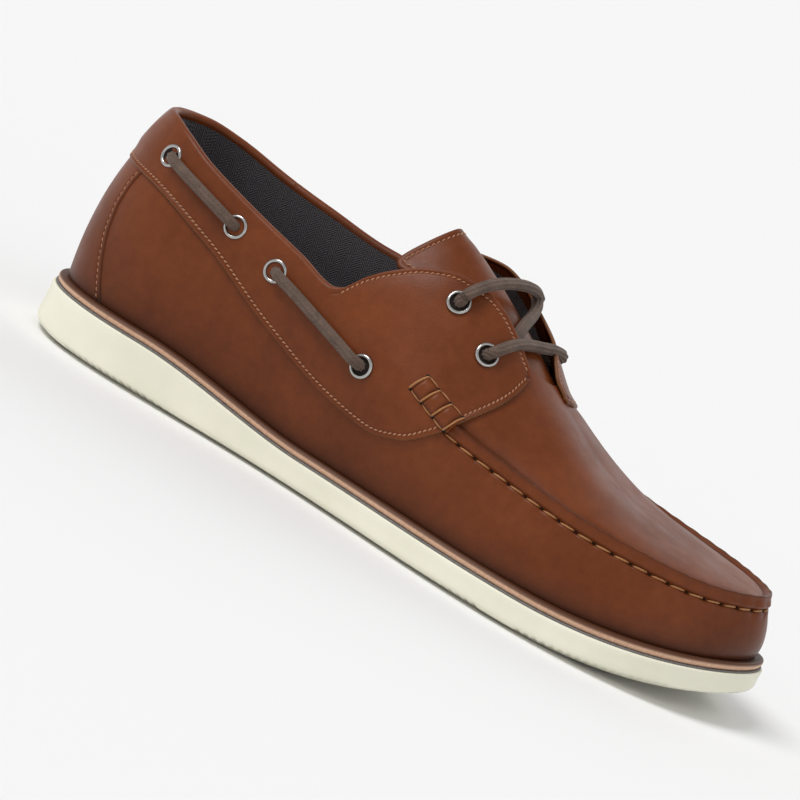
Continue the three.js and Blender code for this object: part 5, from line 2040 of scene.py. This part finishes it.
@dataclass
class Ladder:
    """Padded roll at the end of the moccasin seam on a wing, held by rails and rungs of thick thread."""

    bench: Bench
    finishes: Finishes
    side: Side
    cells: int = 3
    half: float = 3.6
    height: float = 3.2
    thread: float = 0.5
    seat: float = 1.6
    # rear and front middle, x and z
    ends: dict = field(default_factory=lambda: {
        Side.LATERAL: ((4.3, 58.4), (22.0, 51.6)), Side.MEDIAL: ((15.0, 60.8), (33.2, 54.2))})

    def lay(self, a: Array, b: Array, height: Array) -> tuple:
        """Points and normals on the wing for places along (0 to 1) and across (-1 to 1) the roll.

        Args:
            a: places along the roll, 0 to 1.
            b: places across it, -1 to 1.
            height: heights over the wing's leather.

        Returns:
            Points and normals.
        """
        rear, front = (np.array(p) for p in self.ends[self.side])
        run = front - rear
        across = np.array([-run[1], run[0]]) / np.linalg.norm(run)
        place = rear + a[..., None] * run + (b * self.half)[..., None] * across
        u, t = LAST.locate(self.side, place[..., 0], place[..., 1])
        normal = LAST.normal(u, t)
        return LAST.point(u, t) + normal * (self.seat + height)[..., None], normal

    def build(self) -> None:
        """Makes the roll, the rails and the rungs."""
        a, b = np.meshgrid(np.linspace(-0.03, 1.06, 60), np.linspace(-1.05, 1.05, 25), indexing="ij")
        cell = np.mod(a * self.cells, 1)
        to_rung = np.minimum(cell, 1 - cell)
        waist = 1 - 0.5 * np.exp(-((to_rung / 0.14) ** 2))
        dome = np.sqrt(np.clip(1 - np.clip(np.abs(b), 0, 1) ** 2.6, 0, 1))
        close = smoothstep(-0.03, 0.06, a)
        height = self.height * dome * waist * close - 0.25
        points, _ = self.lay(a, b, height)
        # painted shade along the roll's sides and in the pinches at the rungs
        shade = 0.7 * np.exp(-((np.abs(b) - 1) / 0.2) ** 2) + 0.6 * np.exp(-((to_rung / 0.1) ** 2))
        patch = Patch()
        patch.grid(points, flip=self.side is Side.LATERAL, shade=shade)
        patch.make(self.bench, f"ladder_{self.side.value}", self.finishes.leather, Slot.LEATHER)
        threads, holes = Patch(), Patch()
        for k in range(self.cells + 1):
            across = np.linspace(-0.95, 0.95, 13)
            rise = self.height * 0.5 * np.sqrt(np.clip(1 - across**2, 0, 1)) + 0.15
            lean = (k + 0.10 * across) / self.cells
            path, normal = self.lay(lean, across, rise)
            threads.tube(path, self.thread * (0.75 + 0.25 * np.cos(across * 1.3)), normal, 8)
            # near-black blobs of painted shade in the holes at the rungs' ends
            for b_end in (-1.0, 1.0):
                spot, n = self.lay(np.array([k / self.cells]), np.array([b_end * 0.98]), np.array([-0.1]))
                holes.stitches(spot, np.array([[1.0, 0, 0]]), n, 1.5, 0.55, 0.6)
            if k == self.cells:
                continue
            for b_rail in (-1.0, 1.0):
                along_cell = np.linspace(0.1, 0.9, 11)
                rise = 0.35 * np.sin(np.pi * along_cell) + 0.05
                bow = b_rail * (0.9 + 0.08 * np.sin(np.pi * along_cell))
                path, normal = self.lay((k + along_cell) / self.cells, bow, rise)
                threads.tube(path, self.thread * (0.6 + 0.4 * np.sin(np.pi * along_cell)), normal, 8)
        threads.make(self.bench, f"ladder_{self.side.value}_thread", self.finishes.thread, Slot.THREAD)
        holes.make(self.bench, f"ladder_{self.side.value}_holes", self.finishes.hole, Slot.THREAD)


@dataclass
class Laces:
    """Ribbed lace through the eyelets of both sides and over the tongue."""

    bench: Bench
    finishes: Finishes
    radius: float = 2.1
    side_radius: float = 1.95
    ribs: int = 8
    spans: tuple = ((0, 1), (2, 3))
    sides: int = 56
    flat: float = 0.94
    rib_depth: float = 0.09
    up: tuple = (0.3, 0.05, 0.95)
    # Places of the throat's bars and of the lace between them: x, y, z
    bars: dict = field(default_factory=lambda: {
        "rear": ((1.8, -31.6, 92.8), (4.0, -26.8, 96.6), (5.8, -18, 99.0), (7.8, -9, 100.3),
                 (10.0, 1, 100.8), (11.4, 10, 100.2), (12.2, 18, 98.2), (11.6, 24.6, 95.4)),
        "front": ((20.2, -31.6, 79.6), (22.2, -26.6, 82.6), (23.8, -18, 84.4), (25.6, -9, 84.8),
                  (27.8, 0, 84.8), (29.8, 8.5, 84.8), (31.2, 15.5, 83.6), (30.4, 20.5, 81.8)),
    })
    crossing: tuple = ((23.4, -23, 78.0), (22.0, -19.5, 82.2), (20.4, -14, 86.2), (18.6, -4, 89.8),
                       (16.8, 7, 92.2), (15.0, 14, 94.4), (12.4, 19, 96.8))

    def cord(self, patch: Patch, path: Array, normal: Array, radius: float) -> None:
        """Adds a ribbed cord.

        Args:
            patch: patch that takes it.
            path: places that it passes, (N, 3).
            normal: direction that is up across the cord.
            radius: radius of the cord.
        """
        count = max(24, int(arc_lengths(path)[-1] / 0.8))
        patch.tube(rounded(path, count), radius, normal, self.sides, self.flat, self.ribs, self.rib_depth)

    def side_span(self, side: Side, start: int, stop: int) -> Array:
        """Path from inside one eyelet, over its rim, along the leather and into the next.

        Args:
            side: side of the shoe.
            start: number of the first eyelet, from 0.
            stop: number of the next one.

        Returns:
            Points of the path, (N, 3).
        """
        (a, na), (b, nb) = eyelet_seat(side, start), eyelet_seat(side, stop)
        run = unit(b - a)
        path = [a - 2.6 * na - 0.4 * run, a + 0.2 * na + 0.5 * run, a + 2.6 * na + 3.0 * run]
        spots = eyelet_spots(side)
        for share in (0.24, 0.5, 0.76):
            x = spots[start][0] + (spots[stop][0] - spots[start][0]) * share
            z = spots[start][1] + (spots[stop][1] - spots[start][1]) * share
            u, t = LAST.locate(side, x, z)
            path.append((LAST.point(u, t) + LAST.normal(u, t) * 4.5)[0])
        path += [b + 2.6 * nb - 3.0 * run, b + 0.2 * nb - 0.5 * run, b - 2.6 * nb + 0.4 * run]
        return np.array(path)

    def build(self) -> None:
        """Makes the spans of the side lacing and the throat lace."""
        for side in Side:
            for k, (start, stop) in enumerate(self.spans):
                patch = Patch()
                path = self.side_span(side, start, stop)
                self.cord(patch, path, eyelet_seat(side, start)[1], self.side_radius)
                name = f"side_lace_{side.value}_{k + 1}"
                patch.make(self.bench, f"{name}_cord", self.finishes.lace, Slot.LACE, (name,))
        patch = Patch()
        for number, route in ((4, self.bars["rear"]), (5, self.bars["front"])):
            (a, na), (b, nb) = eyelet_seat(Side.LATERAL, number), eyelet_seat(Side.MEDIAL, number)
            rise = [0.2, 0, 0.4]
            path = np.array([a - 2.4 * na, a + 0.4 * na + rise, *route, b + 0.6 * nb + rise, b - 2.4 * nb])
            self.cord(patch, path, np.array(self.up), self.radius)
        self.cord(patch, np.array(self.crossing), np.array(self.up), self.radius)
        patch.make(self.bench, "throat_lace_cord", self.finishes.lace, Slot.LACE, ("throat_lace",))


# ---- studio
@dataclass
class Studio:
    """Floor, lights and camera."""

    azimuth: float = 15.0
    elevation: float = 10.0
    roll: float = 27.5
    lens: float = 158.0
    distance: float = 1.28
    centre: tuple = (-0.011, 0.0, 0.042)
    floor_half: float = 12.0
    # Sky: height where its strength starts to fall and ends, strength at the floor and overhead
    sky: tuple = (("From Min", 0.06), ("From Max", 0.45), ("To Min", 0.88), ("To Max", 0.48))
    # Lamps: name, direction, angle, strength
    lamps: tuple = (
        ("key", (0.42, 0.40, -0.85), 26.0, 1.75),
        ("fill", (-0.75, 0.5, -0.5), 60.0, 0.30),
        ("rim", (-0.15, -0.85, -0.6), 40.0, 0.35),
    )

    def build(self) -> None:
        """Sets up the floor, the lights and the camera."""
        self.floor()
        self.lights()
        self.camera()

    def floor(self) -> None:
        """Large pale floor."""
        mesh = bpy.data.meshes.new("floor")
        size = self.floor_half
        corners = [(-size, -size, 0), (size, -size, 0), (size, size, 0), (-size, size, 0)]
        mesh.from_pydata(corners, [], [(0, 1, 2, 3)])
        made = bpy.data.objects.new("floor", mesh)
        bpy.context.scene.collection.objects.link(made)
        s = Shader("floor_white")
        s.set(Base_Color=(0.86, 0.86, 0.86), Roughness=0.9, Specular_IOR_Level=0.0,
              Normal=s.bump(s.noise(30), 0.00005, 0.2))
        mesh.materials.append(s.material)

    def lights(self) -> None:
        """White surroundings, brighter near the floor, and three soft suns."""
        world = bpy.data.worlds.new("studio")
        world.use_nodes = True
        tree = world.node_tree
        background = tree.nodes["Background"]
        place = tree.nodes.new("ShaderNodeTexCoord")
        axes = tree.nodes.new("ShaderNodeSeparateXYZ")
        ramp = tree.nodes.new("ShaderNodeMapRange")
        ramp.interpolation_type = "SMOOTHSTEP"
        for name, value in self.sky:
            ramp.inputs[name].default_value = value
        tree.links.new(place.outputs["Generated"], axes.inputs[0])
        tree.links.new(axes.outputs["Z"], ramp.inputs["Value"])
        tree.links.new(ramp.outputs[0], background.inputs[1])
        background.inputs[0].default_value = (1, 1, 1, 1)
        bpy.context.scene.world = world
        for name, toward, angle, power in self.lamps:
            lamp = bpy.data.lights.new(name, "SUN")
            lamp.angle = math.radians(angle)
            lamp.energy = power
            made = bpy.data.objects.new(name, lamp)
            made.rotation_euler = Vector(toward).to_track_quat("-Z", "Y").to_euler()
            bpy.context.scene.collection.objects.link(made)

    def camera(self) -> None:
        """Camera at the viewing angle, rolled so that the toe points down."""
        az, el, roll = (math.radians(a) for a in (self.azimuth, self.elevation, self.roll))
        back = Vector((math.sin(az) * math.cos(el), -math.cos(az) * math.cos(el), math.sin(el)))
        right = Vector((0, 0, 1)).cross(back).normalized()
        up = back.cross(right)
        turned = right * math.cos(roll) + up * math.sin(roll)
        over = up * math.cos(roll) - right * math.sin(roll)
        data = bpy.data.cameras.new("camera")
        data.lens = self.lens
        data.clip_start, data.clip_end = 0.05, 60
        made = bpy.data.objects.new("camera", data)
        matrix = Matrix((turned, over, back)).transposed().to_4x4()
        matrix.translation = Vector(self.centre) + back * self.distance
        made.matrix_world = matrix
        bpy.context.scene.collection.objects.link(made)
        bpy.context.scene.camera = made
        bpy.context.scene.view_settings.view_transform = "Standard"


def main() -> None:
    """Builds the shoe and its studio."""
    logging.basicConfig(level=logging.INFO, format="%(name)s %(message)s")
    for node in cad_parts.values():
        node.hide_render = True
    bench, finishes = Bench(), Finishes()
    parts = [kind(bench, finishes) for kind in (Sole, Upper, Counter, Tongue)]
    for side in Side:
        parts += [kind(bench, finishes, side) for kind in (Saddle, Eyelets, Ladder)]
    parts += [Laces(bench, finishes), Studio()]
    for part in parts:
        part.build()
        LOG.info("%s done", type(part).__name__)


if __name__ == "__main__":
    main()
